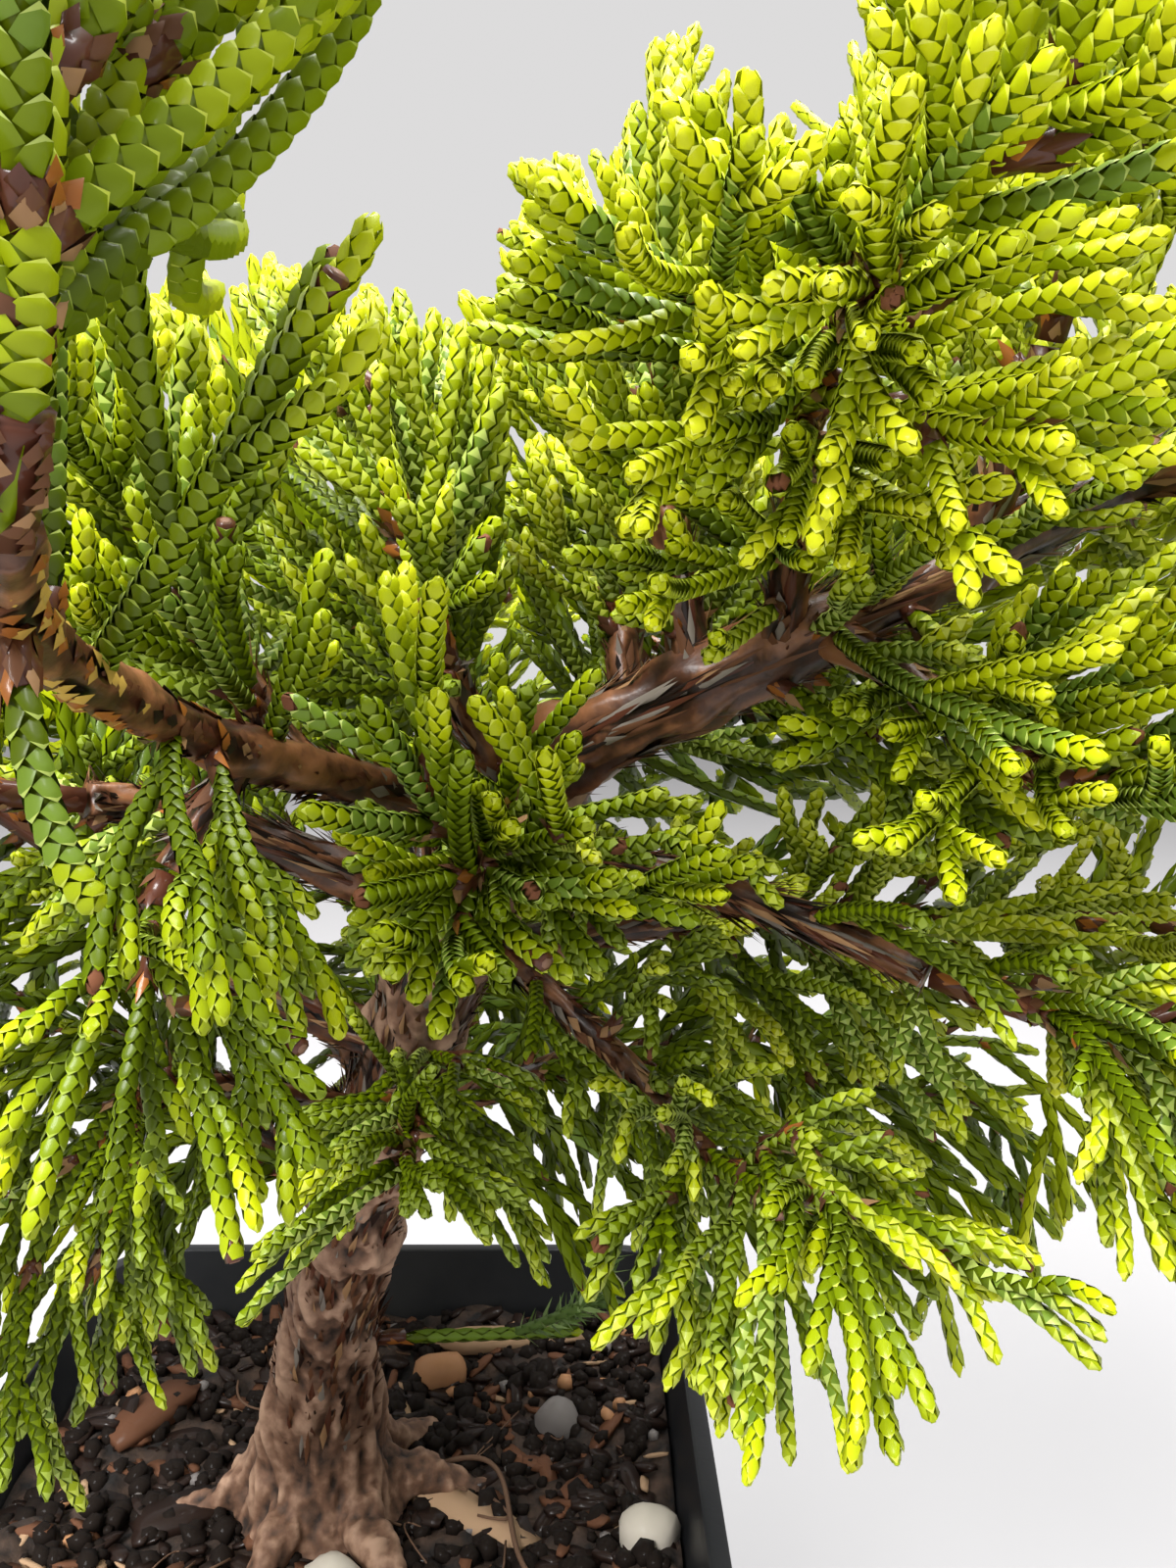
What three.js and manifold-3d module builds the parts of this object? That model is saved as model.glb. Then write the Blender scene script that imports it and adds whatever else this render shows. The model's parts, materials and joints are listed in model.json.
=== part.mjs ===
// A small juniper with scale foliage, trained from a leaning trunk in a square nursery pot.
// Millimetres, +Z up. The origin is the centre of the pot's flat underside.

import * as THREE from 'three';
import { mergeVertices } from 'three/addons/utils/BufferGeometryUtils.js';
import Module from 'manifold-3d';

const wasm = await Module();
wasm.setup();

// Pot: a thin square tub that widens upwards to a lip, with a drain hole near each corner
const POT_WIDTH = 76;
const POT_HEIGHT = 75;
const POT_FOOT_WIDTH = 54;
const POT_WALL = 1.2;
const POT_CORNER_RADIUS = 8;
const POT_FOOT_ROUNDING = 2;
const POT_LIP_HEIGHT = 8;
const POT_LIP_PROUD = 0.8;
const DRAIN_HOLE_RADIUS = 4;
const DRAIN_HOLE_OFFSET = 17;
const CORNER_STEPS = 3;
const CORNER_LARGEST_SHARE = 0.4;
const DRAIN_HOLE_SIDES = 12;

// Soil: fills the pot to a little under the lip, flat round the trunk's foot and lumpy outside that
const SOIL_LEVEL = 66;
const SOIL_FLAT_RADIUS = 21;
const SOIL_EDGE_WIDTH = 6;
const SOIL_LUMP_HEIGHT = 2.4;
const SOIL_EVEN_SHARE = 0.5;
const SOIL_BROAD_SHARE = 0.3;
const SOIL_BROAD_TURNS = [0.31, 0.27];
const SOIL_BROAD_SHIFT = 1.3;
const SOIL_NARROW_SHARE = 0.2;
const SOIL_NARROW_TURNS = 0.47;
const SOIL_RINGS = 5;
const CHIP_STAND_SHARE = 0.15;
const STONE_SIDES = 6;
const STONE_RINGS = 4;
const NEIGHBOUR_GAP = 0.3;

// Trunk: rises near the pot's middle and leans over towards the front right
const TRUNK_FOOT = [-2, 0, SOIL_LEVEL + NEIGHBOUR_GAP];
const TRUNK_LOWER_PULL = [-2.5, -2, 93];
const TRUNK_UPPER_PULL = [13, -31, 128];
const TRUNK_FORK = [22.5, -42, 146.5];
const TRUNK_FORK_RADIUS = 3.1;
const TRUNK_MIDDLE_RADIUS = 4.7;
const TRUNK_FLARE = 4.6;
const TRUNK_FLARE_POWER = 9;
const TRUNK_SIDES = 11;
const TRUNK_RINGS = 10;
const TRUNK_LUMP = 0.07;
const TRUNK_LUMPS_ROUND = 3;
const TRUNK_LUMP_TWIST = 9;
const TRUNK_LUMPS_ALONG = 14;

// Root ridges: the flare's arms, which run out over the soil and end at its level
const ROOT_RIDGES = 6;
const ROOT_REACH = 15.5;
const ROOT_REACH_SPREAD = 5;
const ROOT_THICKNESS = 3.4;
const ROOT_END_THICKNESS = 1.1;
const ROOT_START_HEIGHT = 6.5;
const ROOT_END_DEPTH = 0.6;
const ROOT_KNEE_REACH = 0.45;
const ROOT_KNEE_HEIGHT = 0.25;
const ROOT_SEED = 5;
const CUT_DEPTH = 30;

// Boughs: faceted tapering limbs with a thicker collar where they leave
const BOUGH_SIDES = 5;
const BOUGH_RINGS = 3;
const BOUGH_COLLAR = 0.35;
const COLLAR_POWER = 8;

// Foliage: cords of scale leaves, each larger than life, because one stands for several
// A mass's cords and sprays are sized as shares of its girth, so a small mass has fine ones
const CORD_SHARE = 0.052;
const CORD_LEAST_RADIUS = 0.75;
const CORD_ROOT_SHARE = 0.4;
const CORD_END_SHARE = 0.7;
const CORD_SIDES = 3;
const CORD_RINGS = 2;
const SPRAY_WIDTH_SHARE = 2.8;
const SPRAY_THICKNESS_SHARE = 1.4;
const CORD_SPACING_SHARE = 2.4;
const STEM_END_SHARE = 0.8;
const STEM_PULL_SHARE = 0.4;
const GOLDEN_ANGLE = 2.39996;
const SHOOT_FIRST = 0.12;
const SHOOT_LEAN = 1.05;
const SHOOT_LEAN_SPREAD = 0.3;
const SHOOT_LEAN_TAPER = 0.5;
const SHOOT_TAPER = 0.4;
const SHOOT_LENGTH_LEAST = 0.9;
const SHOOT_LENGTH_SPREAD = 0.4;
const SIDE_CORD_LEAN = 0.62;
const SIDE_CORD_SHARE = 0.55;
const SIDE_CORD_SPREAD = 0.2;
const SIDE_CORD_PLACES = [0.3, 0.52, 0.74];
const SHORTEST_CORD = 7;
const CORD_CURL = 0.34;
const CORD_LENGTH_TRIES = [1, 0.8, 0.6];
const CORD_SPACING_PLACES = [0.5, 0.75, 1];
const PATH_CHECKS = 8;
const FOLIAGE_FLOOR = 77;

// Two corners closer than this are one, and a direction steeper than this counts as upright
const WELD_DISTANCE = 1e-4;
const UPRIGHT_SHARE = 0.8;

// The row of random numbers: its step and its range
const RANDOM_STEP = 0x6d2b79f5;
const RANDOM_RANGE = 2 ** 32;

// The crown is open in a hollow at its front, between the left front shoots and the right ones
const FRONT_HOLLOW = new THREE.Vector3(34, -96, 146);
const FRONT_HOLLOW_RADIUS = 24;

// Seen from a point in that hollow, the crown's top dips and rises along this line:
// how far to the side and how far up it is, as shares of the distance to the back
const FRONT_POINT = [25.5, -116, 151];
const TOP_LINE_NEAREST = 40;
const TOP_LINE = [
  [-0.48, 0.3],
  [-0.27, 0.36],
  [-0.16, 0.325],
  [-0.08, 0.325],
  [-0.068, 0.43],
  [0.032, 0.45],
  [0.043, 0.53],
  [0.107, 0.54],
  [0.12, 0.475],
  [0.206, 0.475],
  [0.216, 0.77],
];

// From the same point a cone is open down to the trunk's foot
const FOOT_VIEW_END = [6, 0, 76];
const FOOT_VIEW_SLOPE = 0.12;

// Each habit is the way in which a mass's cords curl as they grow
const HABITS = {
  rising: new THREE.Vector3(0, 0, 1),
  level: new THREE.Vector3(0, 0, 0.25),
  hanging: new THREE.Vector3(0, 0, -1),
};

// Where each bough leaves its parent as a share of the parent's length, where its tip is,
// how far its middle is off the straight line, and its radius at both ends
const boughRow = (name, parent, at, tip, bow, radii) => ({ name, parent, at, tip, bow, radii });
const BOUGHS = [
  boughRow('main', 'trunk', 0.985, [64, -42, 166], [-0.5, -7, 0], [2.2, 1.3]),
  boughRow('top_centre', 'main', 0.24, [30, -47, 161], [0, 0, 0], [1.3, 1]),
  boughRow('top_front', 'main', 0.35, [36, -56, 161], [0, 0, -1], [1.2, 0.9]),
  boughRow('right_fan', 'main', 0.4, [45, -56, 148.5], [0, 0, 0.6], [1.1, 0.8]),
  boughRow('right_top', 'main', 0.6, [49, -54, 168], [0, 0, -1], [1.1, 0.8]),
  boughRow('crown', 'main', 0.68, [48, -31, 174], [0, 2, 0], [1.3, 0.9]),
  boughRow('right_front', 'main', 0.82, [66, -57, 160], [0, 0, 1], [1.1, 0.8]),
  boughRow('right_back', 'trunk', 0.93, [40, -24, 152], [0, 2, 1], [1.8, 1.1]),
  boughRow('lower_right', 'trunk', 0.9, [44, -53, 135.3], [0, 0, 1], [1.25, 0.85]),
  boughRow('right_low', 'trunk', 0.74, [38, -31, 134], [0, 1, 1], [1.6, 1]),
  boughRow('lower_front', 'trunk', 0.8, [30, -46, 125], [0, 0, 1], [1, 0.75]),
  boughRow('left_front', 'trunk', 0.92, [12, -88.6, 154.5], [-9, 0, 1], [1.25, 1]),
  boughRow('left_rising', 'left_front', 0.3, [5.5, -53, 154], [0, 0, 0], [0.95, 0.75]),
  boughRow('left_hanging', 'left_front', 0.38, [5.5, -60, 142], [0, 0, 0], [0.85, 0.7]),
  boughRow('centre_left', 'trunk', 0.93, [17.5, -48, 152], [0, 0, 0], [1.1, 0.8]),
  boughRow('rear_left', 'trunk', 0.95, [9, -27, 157], [0, 0, 1], [1.3, 0.9]),
  boughRow('middle', 'right_back', 0.4, [28, -27, 159], [0, 0, 1], [1.3, 0.9]),
  boughRow('left_low', 'trunk', 0.56, [-3, -40, 124], [-1, 0, 1], [1.2, 0.8]),
  boughRow('left_outer', 'trunk', 0.8, [-4, -47, 144], [-2, 0, 2], [1.6, 1]),
  boughRow('left_far', 'trunk', 0.66, [-14, -28, 138], [0, 0, -2], [1.7, 1]),
  boughRow('left_back', 'trunk', 0.6, [-12, 0, 138], [0, 0, -2], [1.7, 1]),
  boughRow('back', 'trunk', 0.7, [8, 4, 147], [0, 0, -2], [1.7, 1]),
  boughRow('back_right', 'trunk', 0.85, [32, -4, 152], [0, 0, -1], [1.8, 1]),
  boughRow('back_low', 'trunk', 0.45, [8, 8, 120], [0, 0, 2], [1.3, 0.8]),
  boughRow('left_under', 'trunk', 0.4, [-16, -9, 117], [0, 0, 2], [1.3, 0.8]),
  boughRow('right_under', 'trunk', 0.5, [28, -11, 117], [0, 0, 2], [1.3, 0.8]),
];

// The limb that each mass of foliage grows on from, where its stem ends, how far its cords reach from
// the stem, how many shoots it carries, its habit and the seed of its random draws. A mass that stands
// on the trunk itself also says where, as a share of the trunk's length
const massRow = (name, limb, end, girth, shoots, habit, seed, trunkAt) => ({
  name, limb, end, girth, shoots, habit, seed, trunkAt,
});
const MASSES = [
  massRow('right_end', 'main', [99, -37, 179], 26, 6, 'rising', 11),
  massRow('top_centre', 'top_centre', [28, -44, 184], 19, 9, 'rising', 12),
  massRow('top_front', 'top_front', [36, -74, 165], 18, 10, 'level', 13),
  massRow('right_fan', 'right_fan', [70, -64, 149], 22, 7, 'level', 14),
  massRow('right_top', 'right_top', [52, -62, 184], 20, 6, 'rising', 15),
  massRow('crown', 'crown', [53, -24, 198], 26, 7, 'rising', 16),
  massRow('right_front', 'right_front', [84, -78, 164], 24, 6, 'level', 17),
  massRow('right_back', 'right_back', [86, -4, 168], 30, 6, 'rising', 18),
  massRow('lower_right', 'lower_right', [62, -66, 135], 17, 7, 'hanging', 19),
  massRow('right_low', 'right_low', [84, -38, 134], 26, 6, 'level', 20),
  massRow('lower_front', 'lower_front', [37, -63, 127], 14, 8, 'hanging', 21),
  massRow('left_front', 'left_front', [14, -88, 174], 16, 7, 'rising', 22),
  massRow('left_rising', 'left_rising', [1, -57, 167], 19, 8, 'rising', 23),
  massRow('left_hanging', 'left_hanging', [8, -66, 137], 11, 9, 'hanging', 24),
  massRow('centre_left', 'centre_left', [13, -47, 170], 18, 10, 'rising', 25),
  massRow('rear_left', 'rear_left', [-4, -12, 178], 27, 10, 'rising', 26),
  massRow('middle', 'middle', [29, -14, 181], 22, 8, 'rising', 39),
  massRow('left_low', 'left_low', [-9, -50, 111], 14, 8, 'hanging', 27),
  massRow('left_outer', 'left_outer', [-34, -78, 156], 26, 6, 'level', 28),
  massRow('left_far', 'left_far', [-56, -32, 152], 30, 6, 'level', 29),
  massRow('left_back', 'left_back', [-50, 20, 154], 30, 6, 'level', 30),
  massRow('back', 'back', [2, 46, 162], 30, 6, 'rising', 31),
  massRow('back_right', 'back_right', [60, 34, 166], 30, 6, 'level', 32),
  massRow('back_low', 'back_low', [12, 44, 116], 24, 6, 'hanging', 33),
  massRow('left_under', 'left_under', [-48, -6, 112], 24, 6, 'hanging', 34),
  massRow('right_under', 'right_under', [62, -6, 110], 24, 6, 'hanging', 35),
  massRow('front_small', 'trunk', [20, -62, 142], 16, 8, 'level', 36, 0.93),
  massRow('centre_low', 'trunk', [15, -50, 120], 13, 8, 'hanging', 37, 0.66),
  massRow('foot_spray', 'trunk', [25, 4, 82], 11, 4, 'level', 38, 0.24),
];

// Chips and stones on the soil: where each lies, its length, width and height, and how it is turned
const CHIPS = [
  { kind: 'chip', at: [12.6, -2], size: [17, 4.2, 1.8], turn: -0.62 },
  { kind: 'chip', at: [15.5, 27], size: [17.5, 4.5, 2], turn: 0.04 },
  { kind: 'chip', at: [-16, -2.5], size: [9, 5, 2], turn: 0.5 },
  { kind: 'chip', at: [-24, 12], size: [12, 5, 2.2], turn: 1.1 },
  { kind: 'chip', at: [-12, -24], size: [13, 5, 2], turn: -0.3 },
  { kind: 'chip', at: [20, -25], size: [11, 6, 2.4], turn: 0.8 },
  { kind: 'chip', at: [-6, 26], size: [10, 4, 2], turn: -0.7 },
  { kind: 'stone', at: [1.4, -12.5], size: [6, 5, 5] },
  { kind: 'stone', at: [31.2, -7.5], size: [6, 6, 6] },
  { kind: 'stone', at: [22.2, 11.2], size: [5, 5, 5] },
  { kind: 'stone', at: [7.3, 21], size: [7, 5, 5] },
  { kind: 'stone', at: [-28, -20], size: [6, 5, 5] },
];

// Numbers between 0 and 1 that are the same each time for the same seed
function seededNumbers(seed) {
  let state = seed >>> 0;
  return () => {
    state = (state + RANDOM_STEP) >>> 0;
    let mixed = Math.imul(state ^ (state >>> 15), state | 1);
    mixed ^= mixed + Math.imul(mixed ^ (mixed >>> 7), mixed | 61);
    return ((mixed ^ (mixed >>> 14)) >>> 0) / RANDOM_RANGE;
  };
}

function vector(place) {
  return new THREE.Vector3(...place);
}

// A closed three.js geometry as a solid that can be joined and cut
function solidOf(geometry) {
  const bare = geometry.index ? geometry.toNonIndexed() : geometry.clone();
  for (const extra of ['normal', 'uv']) {
    bare.deleteAttribute(extra);
  }
  const merged = mergeVertices(bare, WELD_DISTANCE);
  const mesh = new wasm.Mesh({
    numProp: 3,
    vertProperties: new Float32Array(merged.attributes.position.array),
    triVerts: new Uint32Array(merged.index.array),
  });
  return new wasm.Manifold(mesh);
}

// The solid's largest piece as a three.js geometry, without loose scraps
function geometryOf(solid) {
  const pieces = solid.decompose();
  pieces.sort((one, other) => other.volume() - one.volume());
  const mesh = pieces[0].getMesh();
  const geometry = new THREE.BufferGeometry();
  geometry.setAttribute('position', new THREE.BufferAttribute(mesh.vertProperties, 3));
  geometry.setIndex(new THREE.BufferAttribute(mesh.triVerts, 1));
  return geometry;
}

// A vector square to the direction, which fixes how a limb's sides are turned
function squareTo(direction) {
  const helper = Math.abs(direction.z) < UPRIGHT_SHARE ? vector([0, 0, 1]) : vector([1, 0, 0]);
  return helper.cross(direction).normalize();
}

// A shape that stands along Y from -1 to 1, laid along a curve with its radius at each share of it
function laidAlong(geometry, curve, radiusAt) {
  const positions = geometry.attributes.position;
  const chord = curve.getPoint(1).sub(curve.getPoint(0)).normalize();
  const reference = squareTo(chord);
  const corner = new THREE.Vector3();
  for (let index = 0; index < positions.count; index += 1) {
    corner.fromBufferAttribute(positions, index);
    const along = THREE.MathUtils.clamp((corner.y + 1) / 2, 0, 1);
    const tangent = curve.getTangent(along);
    const across = reference.clone().addScaledVector(tangent, -reference.dot(tangent)).normalize();
    const upright = new THREE.Vector3().crossVectors(across, tangent);
    const radius = radiusAt(along, Math.atan2(corner.z, corner.x));
    const place = curve.getPoint(along);
    place.addScaledVector(across, corner.x * radius).addScaledVector(upright, corner.z * radius);
    positions.setXYZ(index, place.x, place.y, place.z);
  }
  return solidOf(geometry);
}

function sweptSolid(curve, radiusAt, sides, rings) {
  return laidAlong(new THREE.CylinderGeometry(1, 1, 2, sides, rings), curve, radiusAt);
}

// A point on a rounded square's edge, for the step-th of its evenly numbered corners and arc steps
function roundedSquarePoint(step, halfWidth) {
  const perCorner = CORNER_STEPS + 1;
  const quarter = Math.floor(step / perCorner) % 4;
  const angle = (quarter + (step % perCorner) / CORNER_STEPS) * (Math.PI / 2);
  const corner = (quarter + 0.5) * (Math.PI / 2);
  const radius = Math.min(POT_CORNER_RADIUS, halfWidth * CORNER_LARGEST_SHARE);
  const middle = (halfWidth - radius) * Math.SQRT2;
  return [
    middle * Math.cos(corner) + radius * Math.cos(angle),
    middle * Math.sin(corner) + radius * Math.sin(angle),
  ];
}

// A profile of [half width, height] points turned into a square, round-cornered solid
function squareTurnedSolid(profile, liftAt = () => 0) {
  const steps = 4 * (CORNER_STEPS + 1);
  const outline = profile.map(([halfWidth, height]) => new THREE.Vector2(halfWidth, height));
  const geometry = new THREE.LatheGeometry(outline, steps);
  const positions = geometry.attributes.position;
  for (let index = 0; index < positions.count; index += 1) {
    const step = Math.floor(index / profile.length) % steps;
    const [halfWidth, height] = profile[index % profile.length];
    const [x, y] = halfWidth === 0 ? [0, 0] : roundedSquarePoint(step, halfWidth);
    positions.setXYZ(index, x, y, height + liftAt(x, y, height));
  }
  return solidOf(geometry);
}

function boxSolid(size, place, turn) {
  const geometry = new THREE.BoxGeometry(...size);
  geometry.rotateZ(turn);
  geometry.translate(...place);
  return solidOf(geometry);
}

// Half the pot's outer width at a height, without the lip
function potHalfWidth(height) {
  const top = POT_WIDTH / 2 - POT_LIP_PROUD;
  return THREE.MathUtils.lerp(POT_FOOT_WIDTH / 2, top, height / POT_HEIGHT);
}

function makePot() {
  const lipFoot = POT_HEIGHT - POT_LIP_HEIGHT;
  const inside = (height) => potHalfWidth(height) - POT_WALL;
  const profile = [
    [0, 0],
    [potHalfWidth(0) - POT_FOOT_ROUNDING, 0],
    [potHalfWidth(POT_FOOT_ROUNDING), POT_FOOT_ROUNDING],
    [potHalfWidth(lipFoot), lipFoot],
    [potHalfWidth(lipFoot) + POT_LIP_PROUD, lipFoot],
    [POT_WIDTH / 2, POT_HEIGHT],
    [POT_WIDTH / 2 - POT_WALL, POT_HEIGHT],
    [inside(lipFoot), lipFoot],
    [inside(POT_WALL), POT_WALL],
    [0, POT_WALL],
  ];
  let pot = squareTurnedSolid(profile);
  for (const [side, end] of [[1, 1], [1, -1], [-1, 1], [-1, -1]]) {
    const size = [DRAIN_HOLE_RADIUS, DRAIN_HOLE_RADIUS, 3 * POT_WALL];
    const hole = new THREE.CylinderGeometry(...size, DRAIN_HOLE_SIDES);
    hole.rotateX(Math.PI / 2);
    hole.translate(side * DRAIN_HOLE_OFFSET, end * DRAIN_HOLE_OFFSET, 0);
    pot = pot.subtract(solidOf(hole));
  }
  return pot;
}

// How far the soil rises at a place, with none near the trunk's foot
function soilLift(x, y) {
  const lumpyFrom = SOIL_FLAT_RADIUS + SOIL_EDGE_WIDTH;
  const clear = THREE.MathUtils.smoothstep(Math.hypot(x, y), SOIL_FLAT_RADIUS, lumpyFrom);
  const [turnsX, turnsY] = SOIL_BROAD_TURNS;
  const broad = SOIL_BROAD_SHARE * Math.sin(turnsX * x + SOIL_BROAD_SHIFT) * Math.cos(turnsY * y);
  const narrow = SOIL_NARROW_SHARE * Math.sin(SOIL_NARROW_TURNS * (x - y));
  return SOIL_LUMP_HEIGHT * clear * (SOIL_EVEN_SHARE + broad + narrow);
}

function chipSolid(chip) {
  const [length, width, height] = chip.size;
  const place = [...chip.at, SOIL_LEVEL + soilLift(...chip.at) + height * CHIP_STAND_SHARE];
  if (chip.kind === 'chip') {
    return boxSolid([length, width, height], place, chip.turn);
  }
  const stone = new THREE.SphereGeometry(0.5, STONE_SIDES, STONE_RINGS);
  stone.scale(length, width, height);
  stone.translate(...place);
  return solidOf(stone);
}

function makeSoil(trunkWithGap) {
  const inside = (height) => potHalfWidth(height) - POT_WALL - NEIGHBOUR_GAP;
  const floor = POT_WALL + NEIGHBOUR_GAP;
  const edge = inside(SOIL_LEVEL);
  const profile = [[0, floor], [inside(floor), floor], [edge, SOIL_LEVEL]];
  for (let ring = SOIL_RINGS - 1; ring >= 0; ring -= 1) {
    profile.push([(edge * ring) / SOIL_RINGS, SOIL_LEVEL]);
  }
  const liftAt = (x, y, height) => (height === SOIL_LEVEL ? soilLift(x, y) : 0);
  let soil = squareTurnedSolid(profile, liftAt);
  for (const chip of CHIPS) {
    soil = soil.add(chipSolid(chip));
  }
  return soil.subtract(trunkWithGap);
}

// A limb knows its curve, its radius at each share of its length, and samples for clearance tests
function limbAlong(curve, radiusAt) {
  const samples = [];
  for (let step = 0; step <= PATH_CHECKS; step += 1) {
    const along = step / PATH_CHECKS;
    samples.push({ place: curve.getPoint(along), radius: radiusAt(along) });
  }
  return { curve, radiusAt, samples };
}

function trunkRadius(along) {
  const plain = THREE.MathUtils.lerp(TRUNK_MIDDLE_RADIUS, TRUNK_FORK_RADIUS, along);
  return plain + TRUNK_FLARE * (1 - along) ** TRUNK_FLARE_POWER;
}

const trunkCurve = new THREE.CubicBezierCurve3(
  vector(TRUNK_FOOT),
  vector(TRUNK_LOWER_PULL),
  vector(TRUNK_UPPER_PULL),
  vector(TRUNK_FORK),
);

// The trunk and its root ridges, cut flat at the soil; extra is a gap added all round
function makeTrunk(extra) {
  const lumpy = (along, angle) => {
    const round = Math.sin(TRUNK_LUMPS_ROUND * angle + TRUNK_LUMP_TWIST * along);
    return 1 + TRUNK_LUMP * round * Math.cos(TRUNK_LUMPS_ALONG * along);
  };
  const radiusAt = (along, angle) => trunkRadius(along) * lumpy(along, angle) + extra;
  let trunk = sweptSolid(trunkCurve, radiusAt, TRUNK_SIDES, TRUNK_RINGS);
  const random = seededNumbers(ROOT_SEED);
  for (let ridge = 0; ridge < ROOT_RIDGES; ridge += 1) {
    const heading = ((ridge + 0.5 * (random() - 0.5)) * 2 * Math.PI) / ROOT_RIDGES;
    const reach = ROOT_REACH + ROOT_REACH_SPREAD * (random() - 0.5);
    const outwards = vector([Math.cos(heading), Math.sin(heading), 0]);
    const start = vector(TRUNK_FOOT).add(vector([0, 0, ROOT_START_HEIGHT]));
    const end = vector(TRUNK_FOOT).addScaledVector(outwards, reach);
    end.z -= ROOT_END_DEPTH;
    const knee = vector(TRUNK_FOOT).addScaledVector(outwards, reach * ROOT_KNEE_REACH);
    knee.z += ROOT_START_HEIGHT * ROOT_KNEE_HEIGHT;
    const curve = new THREE.QuadraticBezierCurve3(start, knee, end);
    const thickness = (along) => THREE.MathUtils.lerp(ROOT_THICKNESS, ROOT_END_THICKNESS, along) + extra;
    trunk = trunk.add(sweptSolid(curve, thickness, BOUGH_SIDES, BOUGH_RINGS));
  }
  const cutMiddle = TRUNK_FOOT[2] - extra - CUT_DEPTH / 2;
  const cut = boxSolid([POT_WIDTH, POT_WIDTH, CUT_DEPTH], [0, 0, cutMiddle], 0);
  return trunk.subtract(cut);
}

// A bough's curve from its parent's middle line to its tip, off the straight by its bow at the middle
function boughCurve(bough, parent) {
  const start = parent.curve.getPoint(bough.at);
  const tip = vector(bough.tip);
  const pull = start.clone().lerp(tip, 0.5).addScaledVector(vector(bough.bow), 2);
  return new THREE.QuadraticBezierCurve3(start, pull, tip);
}

function boughRadius(bough, along) {
  const [base, tip] = bough.radii;
  return THREE.MathUtils.lerp(base, tip, along) * (1 + BOUGH_COLLAR * (1 - along) ** COLLAR_POWER);
}

function distanceToSegment(place, start, end) {
  const run = end.clone().sub(start);
  const share = THREE.MathUtils.clamp(place.clone().sub(start).dot(run) / run.lengthSq(), 0, 1);
  return place.distanceTo(start.clone().addScaledVector(run, share));
}

// How far a place is from the surface of a limb
function distanceToLimb(place, limb) {
  let nearest = Infinity;
  for (let step = 0; step < limb.samples.length - 1; step += 1) {
    const [one, next] = [limb.samples[step], limb.samples[step + 1]];
    const radius = Math.max(one.radius, next.radius);
    nearest = Math.min(nearest, distanceToSegment(place, one.place, next.place) - radius);
  }
  return nearest;
}

// A mass's stem: it leaves in the bough's own direction, a small gap beyond the tip, and bends to its end
function stemOf(mass, limbs) {
  const limb = limbs[mass.limb];
  const end = vector(mass.end);
  if (mass.trunkAt !== undefined) {
    const start = limb.curve.getPoint(mass.trunkAt);
    const pull = start.clone().lerp(end, 0.5);
    return new THREE.QuadraticBezierCurve3(start, pull, end);
  }
  const leaving = limb.curve.getTangent(1);
  const start = limb.curve.getPoint(1).addScaledVector(leaving, NEIGHBOUR_GAP);
  const pull = start.clone().addScaledVector(leaving, start.distanceTo(end) * STEM_PULL_SHARE);
  return new THREE.QuadraticBezierCurve3(start, pull, end);
}

// The height of the crown's top line at a distance to the side, both as shares of the distance back
function topLineAt(sideways) {
  for (let index = 1; index < TOP_LINE.length; index += 1) {
    const [from, low] = TOP_LINE[index - 1];
    const [to, high] = TOP_LINE[index];
    if (sideways < to) {
      const share = THREE.MathUtils.clamp((sideways - from) / (to - from), 0, 1);
      return THREE.MathUtils.lerp(low, high, share);
    }
  }
  return TOP_LINE[TOP_LINE.length - 1][1];
}

// Whether a place is in one of the crown's open parts: the front hollow, the sky or the view of the foot
function isOpen(place, radius) {
  if (place.distanceTo(FRONT_HOLLOW) < FRONT_HOLLOW_RADIUS + radius) {
    return true;
  }
  const eye = vector(FRONT_POINT);
  const offset = place.clone().sub(eye);
  const isBeyond = offset.y > TOP_LINE_NEAREST;
  if (isBeyond && offset.z + radius > topLineAt(offset.x / offset.y) * offset.y) {
    return true;
  }
  const view = vector(FOOT_VIEW_END).sub(eye);
  const along = offset.dot(view) / view.length();
  const aside = offset.addScaledVector(view, -along / view.length()).length();
  return along > 0 && along < view.length() && aside - radius < FOOT_VIEW_SLOPE * along;
}

// Whether a cord of the given radius may pass here: in its own mass's space and clear of every limb
function isFree(place, radius, mass, stems, limbs) {
  const [ownStart, ownEnd] = stems[mass.name];
  const own = distanceToSegment(place, ownStart, ownEnd);
  if (own > mass.girth || place.z - radius < FOLIAGE_FLOOR || isOpen(place, radius)) {
    return false;
  }
  for (const [name, [start, end]] of Object.entries(stems)) {
    const clearance = distanceToSegment(place, start, end) - own;
    if (name !== mass.name && clearance < 2 * radius + NEIGHBOUR_GAP) {
      return false;
    }
  }
  return Object.values(limbs).every((limb) => distanceToLimb(place, limb) > radius + NEIGHBOUR_GAP);
}

// A cord that leaves in one direction and curls towards its mass's habit
function cordCurve(start, direction, length, habit) {
  const pull = start.clone().addScaledVector(direction, length * 0.5);
  const end = start.clone().addScaledVector(direction, length).addScaledVector(habit, length * CORD_CURL);
  return new THREE.QuadraticBezierCurve3(start, pull, end);
}

// The longest of a few tries that keeps a cord free all along, or nothing where none would fit
function fittingCord(start, direction, length, habit, isFreeAt, rootLength) {
  for (const share of CORD_LENGTH_TRIES) {
    const curve = cordCurve(start, direction, length * share, habit);
    let fits = length * share >= SHORTEST_CORD;
    for (let step = 1; fits && step <= PATH_CHECKS; step += 1) {
      const along = step / PATH_CHECKS;
      fits = along * length * share < rootLength || isFreeAt(curve.getPoint(along), along);
    }
    if (fits) {
      return curve;
    }
  }
  return null;
}

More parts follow.
